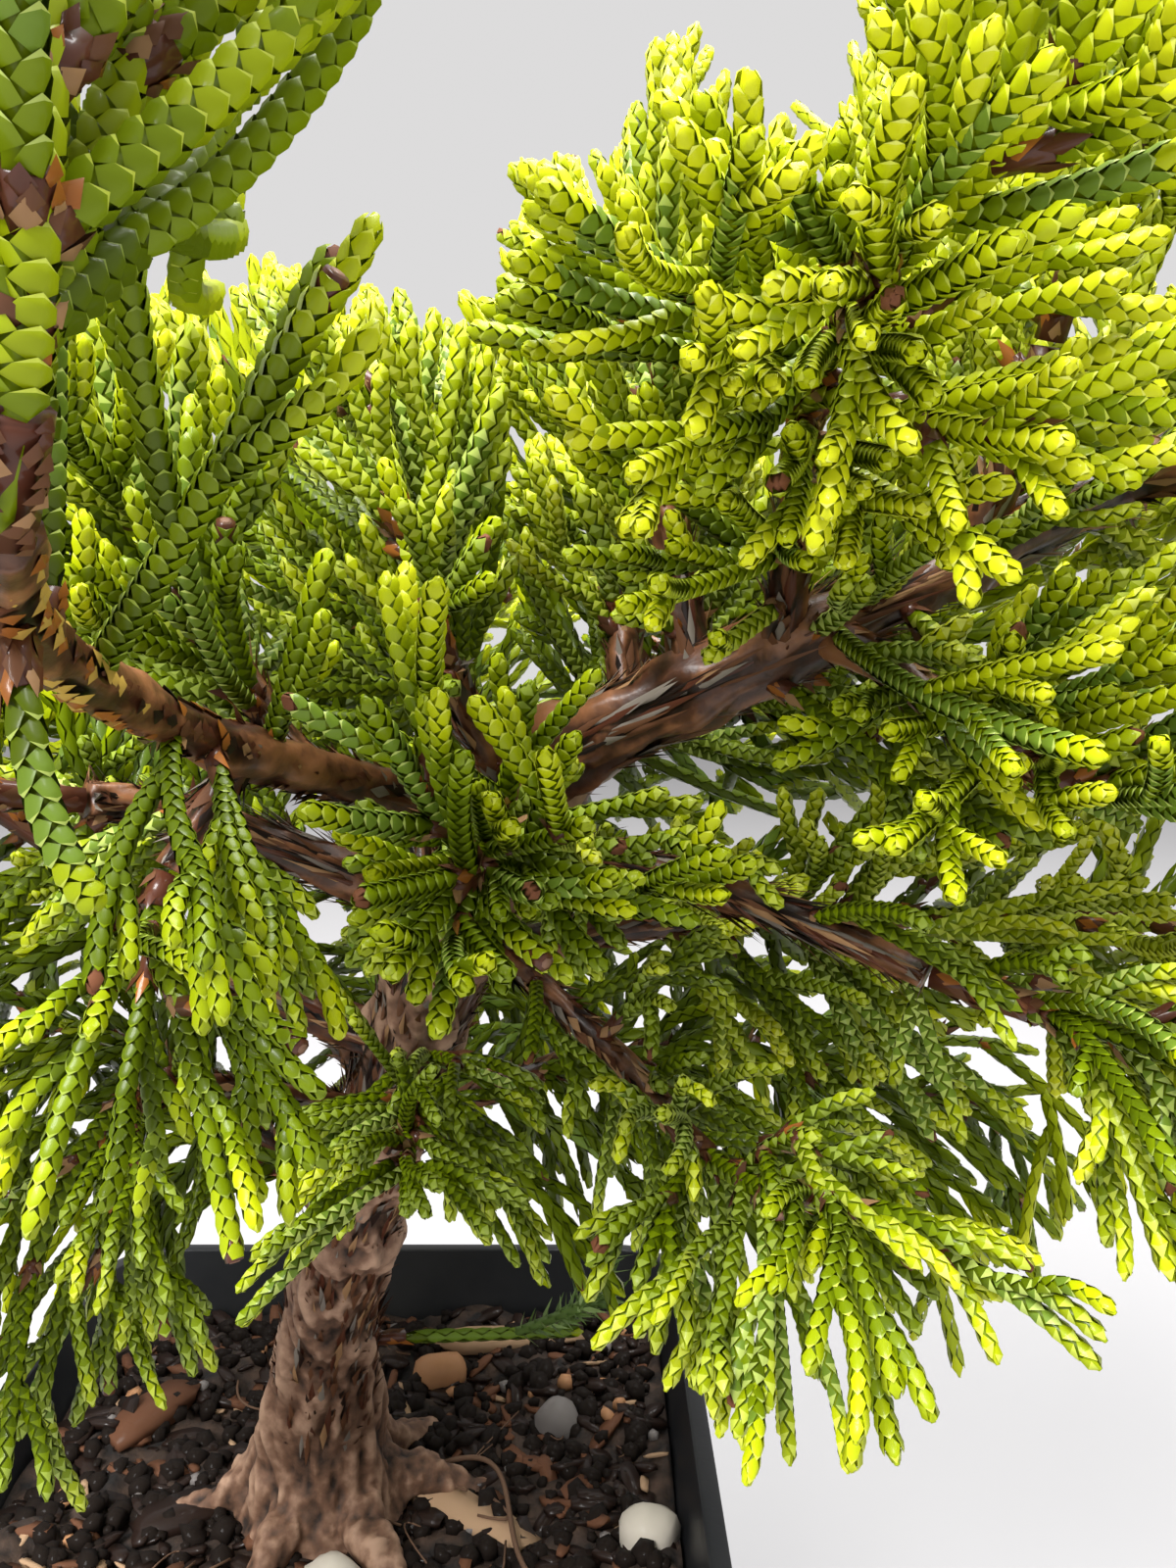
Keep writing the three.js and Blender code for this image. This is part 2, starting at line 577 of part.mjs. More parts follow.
// A direction that leans away from another by an angle, turned round it
function leaningFrom(direction, lean, turn) {
  const side = squareTo(direction).applyAxisAngle(direction, turn);
  return direction.clone().multiplyScalar(Math.cos(lean)).addScaledVector(side, Math.sin(lean)).normalize();
}

// Whether a place keeps its distance from the cords that the mass already has
function isSpaced(place, cords, spacing) {
  return cords.every((cord) => cord.places.every((other) => place.distanceTo(other) > spacing));
}

function cordRadiusOf(mass) {
  return Math.max(CORD_LEAST_RADIUS, mass.girth * CORD_SHARE);
}

// How far a cord's surface is from its middle line at a share of its length, for its widest side
function shootRadius(along, thick) {
  if (along < 0.5) {
    return thick * THREE.MathUtils.lerp(CORD_ROOT_SHARE, 1, along * 2);
  }
  return thick * THREE.MathUtils.lerp(1, CORD_END_SHARE, along * 2 - 1);
}

function sprayRadius(along, thick) {
  return thick * SPRAY_WIDTH_SHARE * (1 - Math.abs(2 * along - 1));
}

// The growth rule: shoots turn round the stem by the golden angle, and side cords leave them by turns
function growMass(mass, stem, stems, limbs) {
  const random = seededNumbers(mass.seed);
  const habit = HABITS[mass.habit];
  const cords = [];
  const thick = cordRadiusOf(mass);
  const radii = { shoot: shootRadius, side: sprayRadius };
  const grow = (kind, start, direction, length) => {
    const isFreeAt = (place, along) => isFree(place, radii[kind](along, thick), mass, stems, limbs);
    const curve = fittingCord(start, direction, length, habit, isFreeAt, 2 * thick);
    const outer = curve ? CORD_SPACING_PLACES.map((along) => curve.getPoint(along)) : [];
    if (!curve || !outer.every((place) => isSpaced(place, cords, thick * CORD_SPACING_SHARE))) {
      return null;
    }
    cords.push({ kind, curve, places: outer });
    return curve;
  };
  for (let shoot = 0; shoot < mass.shoots; shoot += 1) {
    const along = SHOOT_FIRST + ((1 - SHOOT_FIRST) * (shoot + random())) / mass.shoots;
    const turn = shoot * GOLDEN_ANGLE + random();
    const lean = SHOOT_LEAN * (1 - SHOOT_LEAN_TAPER * along) + SHOOT_LEAN_SPREAD * (random() - 0.5);
    const fullness = SHOOT_LENGTH_LEAST + SHOOT_LENGTH_SPREAD * random();
    const length = mass.girth * (1 - SHOOT_TAPER * along) * fullness;
    const sideDraws = SIDE_CORD_PLACES.map(() => random());
    const direction = leaningFrom(stem.getTangent(along), lean, turn);
    const curve = grow('shoot', stem.getPoint(along), direction, length);
    if (!curve) {
      continue;
    }
    SIDE_CORD_PLACES.forEach((place, index) => {
      const side = index % 2 === 0 ? 1 : -1;
      const sideLength = length * (SIDE_CORD_SHARE + SIDE_CORD_SPREAD * sideDraws[index]);
      const sideTurn = (side * Math.PI) / 2 + turn + sideDraws[index];
      const sideDirection = leaningFrom(curve.getTangent(place), SIDE_CORD_LEAN, sideTurn);
      grow('side', curve.getPoint(place), sideDirection, sideLength);
    });
  }
  return cords;
}

// A shoot is a three-sided cord: narrow where it leaves, widest at the middle and blunt at the tip
function shootSolid(curve, thick) {
  return sweptSolid(curve, (along) => shootRadius(along, thick), CORD_SIDES, CORD_RINGS);
}

// A side cord is a spray of eight faces, pointed at both ends and flatter than it is wide
function spraySolid(curve, thick) {
  const radiusAt = (along, angle) => {
    const wide = SPRAY_WIDTH_SHARE * Math.abs(Math.cos(angle));
    return thick * (wide + SPRAY_THICKNESS_SHARE * Math.abs(Math.sin(angle)));
  };
  return laidAlong(new THREE.OctahedronGeometry(1, 0), curve, radiusAt);
}

function makeMass(mass, stem, stems, limbs, trunkWithGap) {
  const thick = cordRadiusOf(mass);
  const isOnTrunk = mass.trunkAt !== undefined;
  const boughTip = isOnTrunk ? thick : limbs[mass.limb].radiusAt(1);
  const stemRadius = (along) => THREE.MathUtils.lerp(boughTip, thick * STEM_END_SHARE, along);
  let solid = sweptSolid(stem, stemRadius, CORD_SIDES + 1, CORD_RINGS);
  for (const { kind, curve } of growMass(mass, stem, stems, limbs)) {
    solid = solid.add(kind === 'shoot' ? shootSolid(curve, thick) : spraySolid(curve, thick));
  }
  return isOnTrunk ? solid.subtract(trunkWithGap) : solid;
}

const MATERIALS = {
  pot: { color: 0x16171a, roughness: 0.45, metalness: 0 },
  soil: { color: 0x2b221d, roughness: 0.95, metalness: 0 },
  bark: { color: 0x6b4330, roughness: 0.85, metalness: 0 },
  foliage: { color: 0x6c9a2e, roughness: 0.5, metalness: 0 },
};

function addNode(group, name, solid, material) {
  const mesh = new THREE.Mesh(geometryOf(solid), new THREE.MeshStandardMaterial(MATERIALS[material]));
  mesh.name = name;
  group.add(mesh);
}

function buildPlant() {
  const plant = new THREE.Group();
  const trunkWithGap = makeTrunk(NEIGHBOUR_GAP);
  addNode(plant, 'pot', makePot(), 'pot');
  addNode(plant, 'soil', makeSoil(trunkWithGap), 'soil');
  addNode(plant, 'trunk', makeTrunk(0), 'bark');

  const limbs = { trunk: limbAlong(trunkCurve, trunkRadius) };
  for (const bough of BOUGHS) {
    const parent = limbs[bough.parent];
    const curve = boughCurve(bough, parent);
    const radiusAt = (along) => boughRadius(bough, along);
    limbs[bough.name] = limbAlong(curve, radiusAt);
    const solid = sweptSolid(curve, radiusAt, BOUGH_SIDES, BOUGH_RINGS);
    const parentGap = (along) => parent.radiusAt(along) + NEIGHBOUR_GAP;
    const isOnTrunk = bough.parent === 'trunk';
    const carrier = isOnTrunk ? trunkWithGap : sweptSolid(parent.curve, parentGap, BOUGH_SIDES, BOUGH_RINGS);
    addNode(plant, `bough_${bough.name}`, solid.subtract(carrier), 'bark');
  }

  const curves = Object.fromEntries(MASSES.map((mass) => [mass.name, stemOf(mass, limbs)]));
  const stems = Object.fromEntries(
    Object.entries(curves).map(([name, curve]) => [name, [curve.getPoint(0), curve.getPoint(1)]]),
  );
  for (const mass of MASSES) {
    const solid = makeMass(mass, curves[mass.name], stems, limbs, trunkWithGap);
    addNode(plant, `foliage_${mass.name}`, solid, 'foliage');
  }
  return plant;
}

export default buildPlant();
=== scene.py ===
"""A small potted juniper with scale foliage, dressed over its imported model.

The limbs carry bark with relief, every mass of foliage is grown on from them into fine cords of
scale leaves, and the square nursery pot is filled with loose soil. Sizes are in millimetres until a
mesh is made, where they become metres. The camera and the lights stand in metres.
"""

import json
import logging
import math
from collections.abc import Callable
from dataclasses import dataclass, field
from enum import Enum

import bmesh
import bpy
import numpy as np
from bpy.types import Material, Mesh, Node, NodeSocket, NodeTree, Object
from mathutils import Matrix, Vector
from numpy.random import Generator

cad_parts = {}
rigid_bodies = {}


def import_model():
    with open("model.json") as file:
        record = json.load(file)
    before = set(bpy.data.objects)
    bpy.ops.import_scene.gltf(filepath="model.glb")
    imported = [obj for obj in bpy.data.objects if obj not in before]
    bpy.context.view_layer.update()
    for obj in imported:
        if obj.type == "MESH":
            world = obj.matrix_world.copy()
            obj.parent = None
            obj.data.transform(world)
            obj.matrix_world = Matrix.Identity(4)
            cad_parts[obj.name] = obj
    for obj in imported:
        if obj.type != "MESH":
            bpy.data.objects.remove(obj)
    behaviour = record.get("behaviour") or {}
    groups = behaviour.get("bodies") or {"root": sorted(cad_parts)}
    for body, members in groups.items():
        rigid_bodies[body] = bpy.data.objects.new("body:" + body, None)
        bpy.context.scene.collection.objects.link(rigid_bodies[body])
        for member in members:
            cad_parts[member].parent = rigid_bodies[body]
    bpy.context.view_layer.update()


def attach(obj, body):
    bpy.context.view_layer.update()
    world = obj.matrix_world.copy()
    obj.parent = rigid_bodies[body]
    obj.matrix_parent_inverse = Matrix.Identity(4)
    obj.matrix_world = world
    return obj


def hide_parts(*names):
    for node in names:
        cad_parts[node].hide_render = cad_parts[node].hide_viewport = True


log = logging.getLogger("potted_juniper")

Array = np.ndarray
MM = 0.001
WORD = 0xFFFFFFFF
UP = np.array([0.0, 0.0, 1.0])
TINY = 1e-9
STEEP = 0.8
NOISE_STEPS = np.array([374761393, 668265263, 2147483647])
NOISE_MIXER = 1274126177


# The plan of the plant, the same as the solids'


@dataclass(frozen=True)
class PotSizes:
    """The pot's and the soil's driving sizes."""

    width: float = 76
    height: float = 75
    foot_width: float = 54
    wall: float = 1.2
    corner_radius: float = 8
    lip_height: float = 8
    lip_proud: float = 0.8
    drain_hole_radius: float = 4
    drain_hole_offset: float = 17
    soil_level: float = 66
    soil_flat_radius: float = 21
    soil_lump_height: float = 2.4
    gap: float = 0.3

    def half_width(self, height: float) -> float:
        """Half the pot's outer width at a height, without the lip."""
        top = self.width / 2 - self.lip_proud
        foot = self.foot_width / 2
        return foot + (top - foot) * height / self.height


POT = PotSizes()


class Habit(Enum):
    """The way in which a mass's cords curl as they grow."""

    RISING = (0, 0, 1)
    LEVEL = (0, 0, 0.25)
    HANGING = (0, 0, -1)

    @property
    def pull(self) -> Array:
        """The direction that the cords curl towards."""
        return np.array(self.value, float)


@dataclass(frozen=True)
class Bough:
    """A limb that leaves its parent at a share of the parent's length and tapers to its tip."""

    name: str
    parent: str
    at: float
    tip: tuple[float, float, float]
    bow: tuple[float, float, float]
    radii: tuple[float, float]


@dataclass(frozen=True)
class Mass:
    """A mass of foliage: the limb that it grows on from, where its stem ends and how far it reaches.

    One that stands on the trunk itself says where. Its fullness is its share of the usual number of
    fine shoots, its light is painted light that makes its greens lighter, and painted shade below
    nought that makes them darker, and a young one near the soil has needles instead of scales.
    """

    name: str
    limb: str
    end: tuple[float, float, float]
    girth: float
    shoots: int
    habit: Habit
    seed: int
    trunk_at: float | None = None
    fullness: float = 1.0
    # Painted light on the mass's greens, painted shade when below nought.
    light: float = 0.0
    has_needles: bool = False


RISING, LEVEL, HANGING = Habit

BOUGHS = (
    Bough("main", "trunk", 0.985, (64, -42, 166), (-0.5, -7, 0), (2.2, 1.3)),
    Bough("top_centre", "main", 0.24, (30, -47, 161), (0, 0, 0), (1.3, 1)),
    Bough("top_front", "main", 0.35, (36, -56, 161), (0, 0, -1), (1.2, 0.9)),
    Bough("right_fan", "main", 0.4, (45, -56, 148.5), (0, 0, 0.6), (1.1, 0.8)),
    Bough("right_top", "main", 0.6, (49, -54, 168), (0, 0, -1), (1.1, 0.8)),
    Bough("crown", "main", 0.68, (48, -31, 174), (0, 2, 0), (1.3, 0.9)),
    Bough("right_front", "main", 0.82, (66, -57, 160), (0, 0, 1), (1.1, 0.8)),
    Bough("right_back", "trunk", 0.93, (40, -24, 152), (0, 2, 1), (1.8, 1.1)),
    Bough("lower_right", "trunk", 0.9, (44, -53, 135.3), (0, 0, 1), (1.25, 0.85)),
    Bough("right_low", "trunk", 0.74, (38, -31, 134), (0, 1, 1), (1.6, 1)),
    Bough("lower_front", "trunk", 0.8, (30, -46, 125), (0, 0, 1), (1, 0.75)),
    Bough("left_front", "trunk", 0.92, (12, -88.6, 154.5), (-9, 0, 1), (1.25, 1)),
    Bough("left_rising", "left_front", 0.3, (5.5, -53, 154), (0, 0, 0), (0.95, 0.75)),
    Bough("left_hanging", "left_front", 0.38, (5.5, -60, 142), (0, 0, 0), (0.85, 0.7)),
    Bough("centre_left", "trunk", 0.93, (17.5, -48, 152), (0, 0, 0), (1.1, 0.8)),
    Bough("rear_left", "trunk", 0.95, (9, -27, 157), (0, 0, 1), (1.3, 0.9)),
    Bough("middle", "right_back", 0.4, (28, -27, 159), (0, 0, 1), (1.3, 0.9)),
    Bough("left_low", "trunk", 0.56, (-3, -40, 124), (-1, 0, 1), (1.2, 0.8)),
    Bough("left_outer", "trunk", 0.8, (-4, -47, 144), (-2, 0, 2), (1.6, 1)),
    Bough("left_far", "trunk", 0.66, (-14, -28, 138), (0, 0, -2), (1.7, 1)),
    Bough("left_back", "trunk", 0.6, (-12, 0, 138), (0, 0, -2), (1.7, 1)),
    Bough("back", "trunk", 0.7, (8, 4, 147), (0, 0, -2), (1.7, 1)),
    Bough("back_right", "trunk", 0.85, (32, -4, 152), (0, 0, -1), (1.8, 1)),
    Bough("back_low", "trunk", 0.45, (8, 8, 120), (0, 0, 2), (1.3, 0.8)),
    Bough("left_under", "trunk", 0.4, (-16, -9, 117), (0, 0, 2), (1.3, 0.8)),
    Bough("right_under", "trunk", 0.5, (28, -11, 117), (0, 0, 2), (1.3, 0.8)),
)

# A mass's light is painted light on its greens, and painted shade when below nought.
MASSES = (
    Mass("right_end", "main", (99, -37, 179), 26, 6, RISING, 11),
    Mass("top_centre", "top_centre", (28, -44, 184), 19, 9, RISING, 12, fullness=1.8),
    Mass("top_front", "top_front", (36, -74, 165), 18, 10, LEVEL, 13, fullness=1.7, light=0.1),
    Mass("right_fan", "right_fan", (70, -64, 149), 22, 7, LEVEL, 14, fullness=1.2),
    Mass("right_top", "right_top", (52, -62, 184), 20, 6, RISING, 15),
    Mass("crown", "crown", (53, -24, 198), 26, 7, RISING, 16),
    Mass("right_front", "right_front", (84, -78, 164), 24, 6, LEVEL, 17, light=0.08),
    Mass("right_back", "right_back", (86, -4, 168), 30, 6, RISING, 18, fullness=1.4, light=0.1),
    Mass("lower_right", "lower_right", (62, -66, 135), 17, 7, HANGING, 19),
    Mass("right_low", "right_low", (84, -38, 134), 26, 6, LEVEL, 20, fullness=1.3, light=0.25),
    Mass("lower_front", "lower_front", (37, -63, 127), 14, 8, HANGING, 21, fullness=1.9, light=0.02),
    Mass("left_front", "left_front", (14, -88, 174), 16, 7, RISING, 22, fullness=0.8, light=-0.3),
    Mass("left_rising", "left_rising", (1, -57, 167), 19, 8, RISING, 23, fullness=2, light=-0.12),
    Mass("left_hanging", "left_hanging", (8, -66, 137), 11, 9, HANGING, 24, fullness=0.8, light=-0.1),
    Mass("centre_left", "centre_left", (13, -47, 170), 18, 10, RISING, 25, fullness=2),
    Mass("rear_left", "rear_left", (-4, -12, 178), 27, 10, RISING, 26, fullness=1.3),
    Mass("middle", "middle", (29, -14, 181), 22, 8, RISING, 39, fullness=1.6, light=0.25),
    Mass("left_low", "left_low", (-9, -50, 111), 14, 8, HANGING, 27, fullness=0.5, light=-0.2),
    Mass("left_outer", "left_outer", (-34, -78, 156), 26, 6, LEVEL, 28, fullness=0.6, light=-0.3),
    Mass("left_far", "left_far", (-56, -32, 152), 30, 6, LEVEL, 29, fullness=1.5),
    Mass("left_back", "left_back", (-50, 20, 154), 30, 6, LEVEL, 30, fullness=1.3),
    Mass("back", "back", (2, 46, 162), 30, 6, RISING, 31, fullness=1.5, light=0.15),
    Mass("back_right", "back_right", (60, 34, 166), 30, 6, LEVEL, 32, fullness=1.3, light=0.12),
    Mass("back_low", "back_low", (12, 44, 116), 24, 6, HANGING, 33, fullness=2.4),
    Mass("left_under", "left_under", (-48, -6, 112), 24, 6, HANGING, 34, fullness=1.8, light=-0.1),
    Mass("right_under", "right_under", (62, -6, 110), 24, 6, HANGING, 35, fullness=2),
    Mass("front_small", "trunk", (20, -62, 142), 16, 8, LEVEL, 36, 0.93, fullness=2.4, light=0.04),
    Mass("centre_low", "trunk", (15, -50, 120), 13, 8, HANGING, 37, 0.66, fullness=4),
    Mass("foot_spray", "trunk", (25, 4, 82), 11, 4, LEVEL, 38, 0.24, has_needles=True),
)


# Numbers, curves and small vector helpers


class SeededNumbers:
    """Numbers between 0 and 1 that are the same each time for the same seed."""

    step: int = 0x6D2B79F5
    shifts: tuple = (15, 7, 14)
    low_bits: int = 61

    def __init__(self, seed: int) -> None:
        """Start the row of numbers at a seed."""
        self.state = seed & WORD

    def draw(self) -> float:
        """The next number of the row."""
        first, second, third = self.shifts
        self.state = (self.state + self.step) & WORD
        mixed = ((self.state ^ (self.state >> first)) * (self.state | 1)) & WORD
        mixed ^= (mixed + ((mixed ^ (mixed >> second)) * (mixed | self.low_bits))) & WORD
        return (mixed ^ (mixed >> third)) / (WORD + 1)

    def between(self, low: float, high: float) -> float:
        """A number between two bounds."""
        return low + (high - low) * self.draw()


def unit(vector: Array) -> Array:
    """The vector, or each row of vectors, at length 1."""
    return vector / np.maximum(np.linalg.norm(vector, axis=-1, keepdims=True), TINY)


def square_to(direction: Array) -> Array:
    """A vector square to the direction, which fixes how a limb's sides are turned."""
    helper = UP if abs(direction[2]) < STEEP else np.array([1.0, 0.0, 0.0])
    return unit(np.cross(helper, direction))


def leaning_from(direction: Array, lean: float, turn: float) -> Array:
    """A direction that leans away from another by an angle, turned round it."""
    side = square_to(direction)
    turned = side * math.cos(turn) + np.cross(direction, side) * math.sin(turn)
    return unit(direction * math.cos(lean) + turned * math.sin(lean))


class Curve:
    """A Bezier curve of three or four control points."""

    length_checks: int = 17

    def __init__(self, *controls: Array) -> None:
        """Keep the control points."""
        self.controls = np.array(controls, float)

    def points(self, shares: Array | float) -> Array:
        """The points at shares of the curve, each a row, or one point for one share."""
        t = np.atleast_1d(np.asarray(shares, float))[..., None]
        degree = len(self.controls) - 1
        place = sum(
            math.comb(degree, k) * (1 - t) ** (degree - k) * t**k * self.controls[k]
            for k in range(degree + 1)
        )
        return place if np.ndim(shares) else place[0]

    def tangents(self, shares: Array | float) -> Array:
        """The directions of the curve at shares of it."""
        t = np.atleast_1d(np.asarray(shares, float))[..., None]
        steps = np.diff(self.controls, axis=0)
        degree = len(steps) - 1
        run = sum(
            math.comb(degree, k) * (1 - t) ** (degree - k) * t**k * steps[k]
            for k in range(degree + 1)
        )
        run = unit(run)
        return run if np.ndim(shares) else run[0]

    def length(self) -> float:
        """The curve's length."""
        places = self.points(np.linspace(0, 1, self.length_checks))
        return float(np.linalg.norm(np.diff(places, axis=0), axis=1).sum())

    def frames(self, shares: Array) -> tuple[Array, Array, Array]:
        """Middle line, across and upright vectors at shares of the curve.

        Args:
            shares: any array of shares of the length.

        Returns:
            Three arrays of the shares' shape with a last axis of 3.
        """
        flat = np.clip(shares.ravel(), 0, 1)
        tangent = self.tangents(flat)
        chord = unit(self.controls[-1] - self.controls[0])
        reference = square_to(chord)
        across = unit(reference - tangent * (tangent @ reference)[:, None])
        upright = np.cross(across, tangent)
        shape = (*shares.shape, 3)
        return self.points(flat).reshape(shape), across.reshape(shape), upright.reshape(shape)

    def around(self, shares: Array, angles: Array, radii: Array) -> Array:
        """Points round the curve.

        Args:
            shares: any array of shares of the length.
            angles: their angles round the curve, in the same shape.
            radii: their distances from it, in the same shape.

        Returns:
            An array of the shares' shape with a last axis of 3.
        """
        middle, across, upright = self.frames(shares)
        outward = across * np.cos(angles)[..., None] + upright * np.sin(angles)[..., None]
        return middle + outward * radii[..., None]


def distance_to_segments(places: Array, starts: Array, ends: Array) -> Array:
    """How far each place is from each segment.

    Args:
        places: n rows of points.
        starts: m rows of points.
        ends: m rows of points.

    Returns:
        An n by m array of distances.
    """
    run = ends - starts
    to_place = places[:, None, :] - starts[None]
    share = np.clip((to_place * run).sum(-1) / np.maximum((run * run).sum(-1), TINY), 0, 1)
    return np.linalg.norm(to_place - share[..., None] * run, axis=-1)


def lattice_noise(places: Array, seed: int = 0) -> Array:
    """Smooth random heights from 0 to 1 over space, one unit from bump to bump.

    Args:
        places: rows of points.
        seed: another seed gives other heights.

    Returns:
        One height for each row.
    """
    cell = np.floor(places).astype(np.int64)
    inside = places - cell
    inside = inside * inside * (3 - 2 * inside)
    height = np.zeros(len(places))
    for corner in np.ndindex(2, 2, 2):
        step = np.array(corner)
        mixed = ((cell + step) @ NOISE_STEPS + seed * NOISE_MIXER) & WORD
        mixed = ((mixed ^ (mixed >> 13)) * NOISE_MIXER) & WORD
        value = ((mixed ^ (mixed >> 16)) & WORD) / WORD
        weight = np.where(step == 1, inside, 1 - inside).prod(axis=1)
        height += weight * value
    return height


# The limbs


@dataclass
class Limb:
    """A limb's curve and its radius at each share of its length."""

    name: str
    curve: Curve
    radius_at: Callable


@dataclass
class Trunk:
    """The trunk's driving sizes."""

    foot: tuple = (-2, 0, 66.3)
    lower_pull: tuple = (-2.5, -2, 93)
    upper_pull: tuple = (13, -31, 128)
    fork: tuple = (22.5, -42, 146.5)
    fork_radius: float = 3.1
    middle_radius: float = 4.7
    flare: float = 4.6
    flare_power: float = 9
    root_ridges: int = 6
    root_seed: int = 5
    root_reach: float = 15.5
    root_reach_spread: float = 5
    root_thickness: float = 3.4
    root_end_thickness: float = 1.1
    root_start_height: float = 6.5
    root_end_depth: float = 0.6

    def radius(self, along: Array) -> Array:
        """The trunk's radius at shares of its length."""
        plain = self.middle_radius + (self.fork_radius - self.middle_radius) * along
        return plain + self.flare * (1 - along) ** self.flare_power

    def limb(self) -> Limb:
        """The trunk as a limb."""
        return Limb("trunk", Curve(self.foot, self.lower_pull, self.upper_pull, self.fork), self.radius)


@dataclass
class Skeleton:
    """All limbs and the stems of all masses, with the tests that keep foliage in its own space."""

    floor: float = 77
    hollow: tuple = (34, -96, 146)
    hollow_radius: float = 24
    front_point: tuple = (25.5, -116, 151)
    top_line_nearest: float = 40
    top_line_sides: tuple = (-0.48, -0.27, -0.16, -0.08, -0.068, 0.032, 0.043, 0.107, 0.12, 0.206, 0.216)
    top_line_heights: tuple = (0.3, 0.36, 0.325, 0.325, 0.43, 0.45, 0.53, 0.54, 0.475, 0.475, 0.77)
    foot_view_end: tuple = (6, 0, 76)
    foot_view_slope: float = 0.12
    collar: float = 0.35
    collar_power: float = 8
    path_checks: int = 8
    stem_pull: float = 0.4
    limbs: dict = field(default_factory=dict)
    stems: dict = field(default_factory=dict)

    def __post_init__(self) -> None:
        """Lay the limbs out from the trunk, then the stems from the limbs' tips."""
        self.limbs["trunk"] = Trunk().limb()
        for bough in BOUGHS:
            self.limbs[bough.name] = self.bough_limb(bough)
        for mass in MASSES:
            self.stems[mass.name] = self.stem_of(mass)
        self.stem_starts = np.array([curve.points(0.0) for curve in self.stems.values()])
        self.stem_ends = np.array([curve.points(1.0) for curve in self.stems.values()])
        self.stem_rows = {name: row for row, name in enumerate(self.stems)}
        self.gather_limb_segments()

    def bough_limb(self, bough: Bough) -> Limb:
        """A bough's curve and radius, from its parent's middle line to its tip."""
        start = self.limbs[bough.parent].curve.points(bough.at)
        tip = np.array(bough.tip, float)
        pull = (start + tip) / 2 + 2 * np.array(bough.bow, float)
        base, end = bough.radii

        def radius(along: Array) -> Array:
            """The bough's radius at shares of its length."""
            collar = 1 + self.collar * (1 - along) ** self.collar_power
            return (base + (end - base) * along) * collar

        return Limb(bough.name, Curve(start, pull, tip), radius)

    def stem_of(self, mass: Mass) -> Curve:
        """A mass's stem, which leaves in the bough's own direction and bends to its end."""
        limb = self.limbs[mass.limb]
        end = np.array(mass.end, float)
        if mass.trunk_at is not None:
            start = limb.curve.points(mass.trunk_at)
            return Curve(start, (start + end) / 2, end)
        leaving = limb.curve.tangents(1.0)
        start = limb.curve.points(1.0) + leaving * POT.gap
        pull = start + leaving * np.linalg.norm(end - start) * self.stem_pull
        return Curve(start, pull, end)

    def gather_limb_segments(self) -> None:
        """Straight segments of every limb with the larger radius of their two ends."""
        shares = np.linspace(0, 1, self.path_checks + 1)
        starts, ends, radii = [], [], []
        for limb in self.limbs.values():
            places = limb.curve.points(shares)
            thick = limb.radius_at(shares)
            starts.append(places[:-1])
            ends.append(places[1:])
            radii.append(np.maximum(thick[:-1], thick[1:]))
        self.segment_starts = np.concatenate(starts)
        self.segment_ends = np.concatenate(ends)
        self.segment_radii = np.concatenate(radii)

    def is_open(self, places: Array, radii: Array) -> Array:
        """Whether each place is in the front hollow, in the sky, or in the view of the trunk's foot.

        Args:
            places: rows of points.
            radii: the cord's radius at each of them.

        Returns:
            An array of truth values.
        """
        hollow = np.linalg.norm(places - np.array(self.hollow, float), axis=1)
        offset = places - np.array(self.front_point)
        depth = np.maximum(offset[:, 1], 1)
        line = np.interp(offset[:, 0] / depth, self.top_line_sides, self.top_line_heights)
        in_sky = (depth > self.top_line_nearest) & (offset[:, 2] + radii > line * depth)
        view = np.array(self.foot_view_end, float) - np.array(self.front_point)
        run = np.linalg.norm(view)
        along = offset @ view / run
        aside = np.linalg.norm(offset - along[:, None] * view / run, axis=1)
        in_view = (along > 0) & (along < run) & (aside - radii < self.foot_view_slope * along)
        return (hollow < self.hollow_radius + radii) | in_sky | in_view

    def is_free(self, places: Array, radii: Array, mass: Mass) -> Array:
        """Whether a cord may pass at each place.

        Args:
            places: rows of points.
            radii: the cord's radius at each of them.
            mass: the mass whose space the cord keeps to.

        Returns:
            An array of truth values.
        """
        row = self.stem_rows[mass.name]
        reach = distance_to_segments(places, self.stem_starts, self.stem_ends)
        own = reach[:, row]
        others = np.delete(reach, row, axis=1).min(axis=1)
        free = (own <= mass.girth) & (places[:, 2] - radii >= self.floor)
        free &= others - own >= 2 * radii + POT.gap
        free &= ~self.is_open(places, radii)
        limbs = distance_to_segments(places, self.segment_starts, self.segment_ends)
        clear = (limbs - self.segment_radii).min(axis=1)
        return free & (clear > radii + POT.gap)


# The growth rule of the foliage


class Kind(Enum):
    """What a cord is in its spray."""

    STEM = 0
    SHOOT = 1
    SIDE = 2
    BRANCHLET = 3


@dataclass
class Cord:
    """One cord of scale leaves: its curve, length, radii at both ends and place in the crown.

    The first part of it is bare brown wood. A cut one ends in a scar and a dry one in brown leaves.
    """

    kind: Kind
    curve: Curve
    radii: tuple[float, float]
    mass: Mass
    spray: int = 0
    wood: float = 0.0
    is_cut: bool = False
    is_dry: bool = False

    def __post_init__(self) -> None:
        """Measure the curve."""
        self.length = self.curve.length()

    def radius_at(self, shares: Array) -> Array:
        """The cord's radius at shares of its length."""
        return self.radii[0] + (self.radii[1] - self.radii[0]) * shares


NEIGHBOUR_CELLS = [(x - 1, y - 1, z - 1) for x, y, z in np.ndindex(3, 3, 3)]


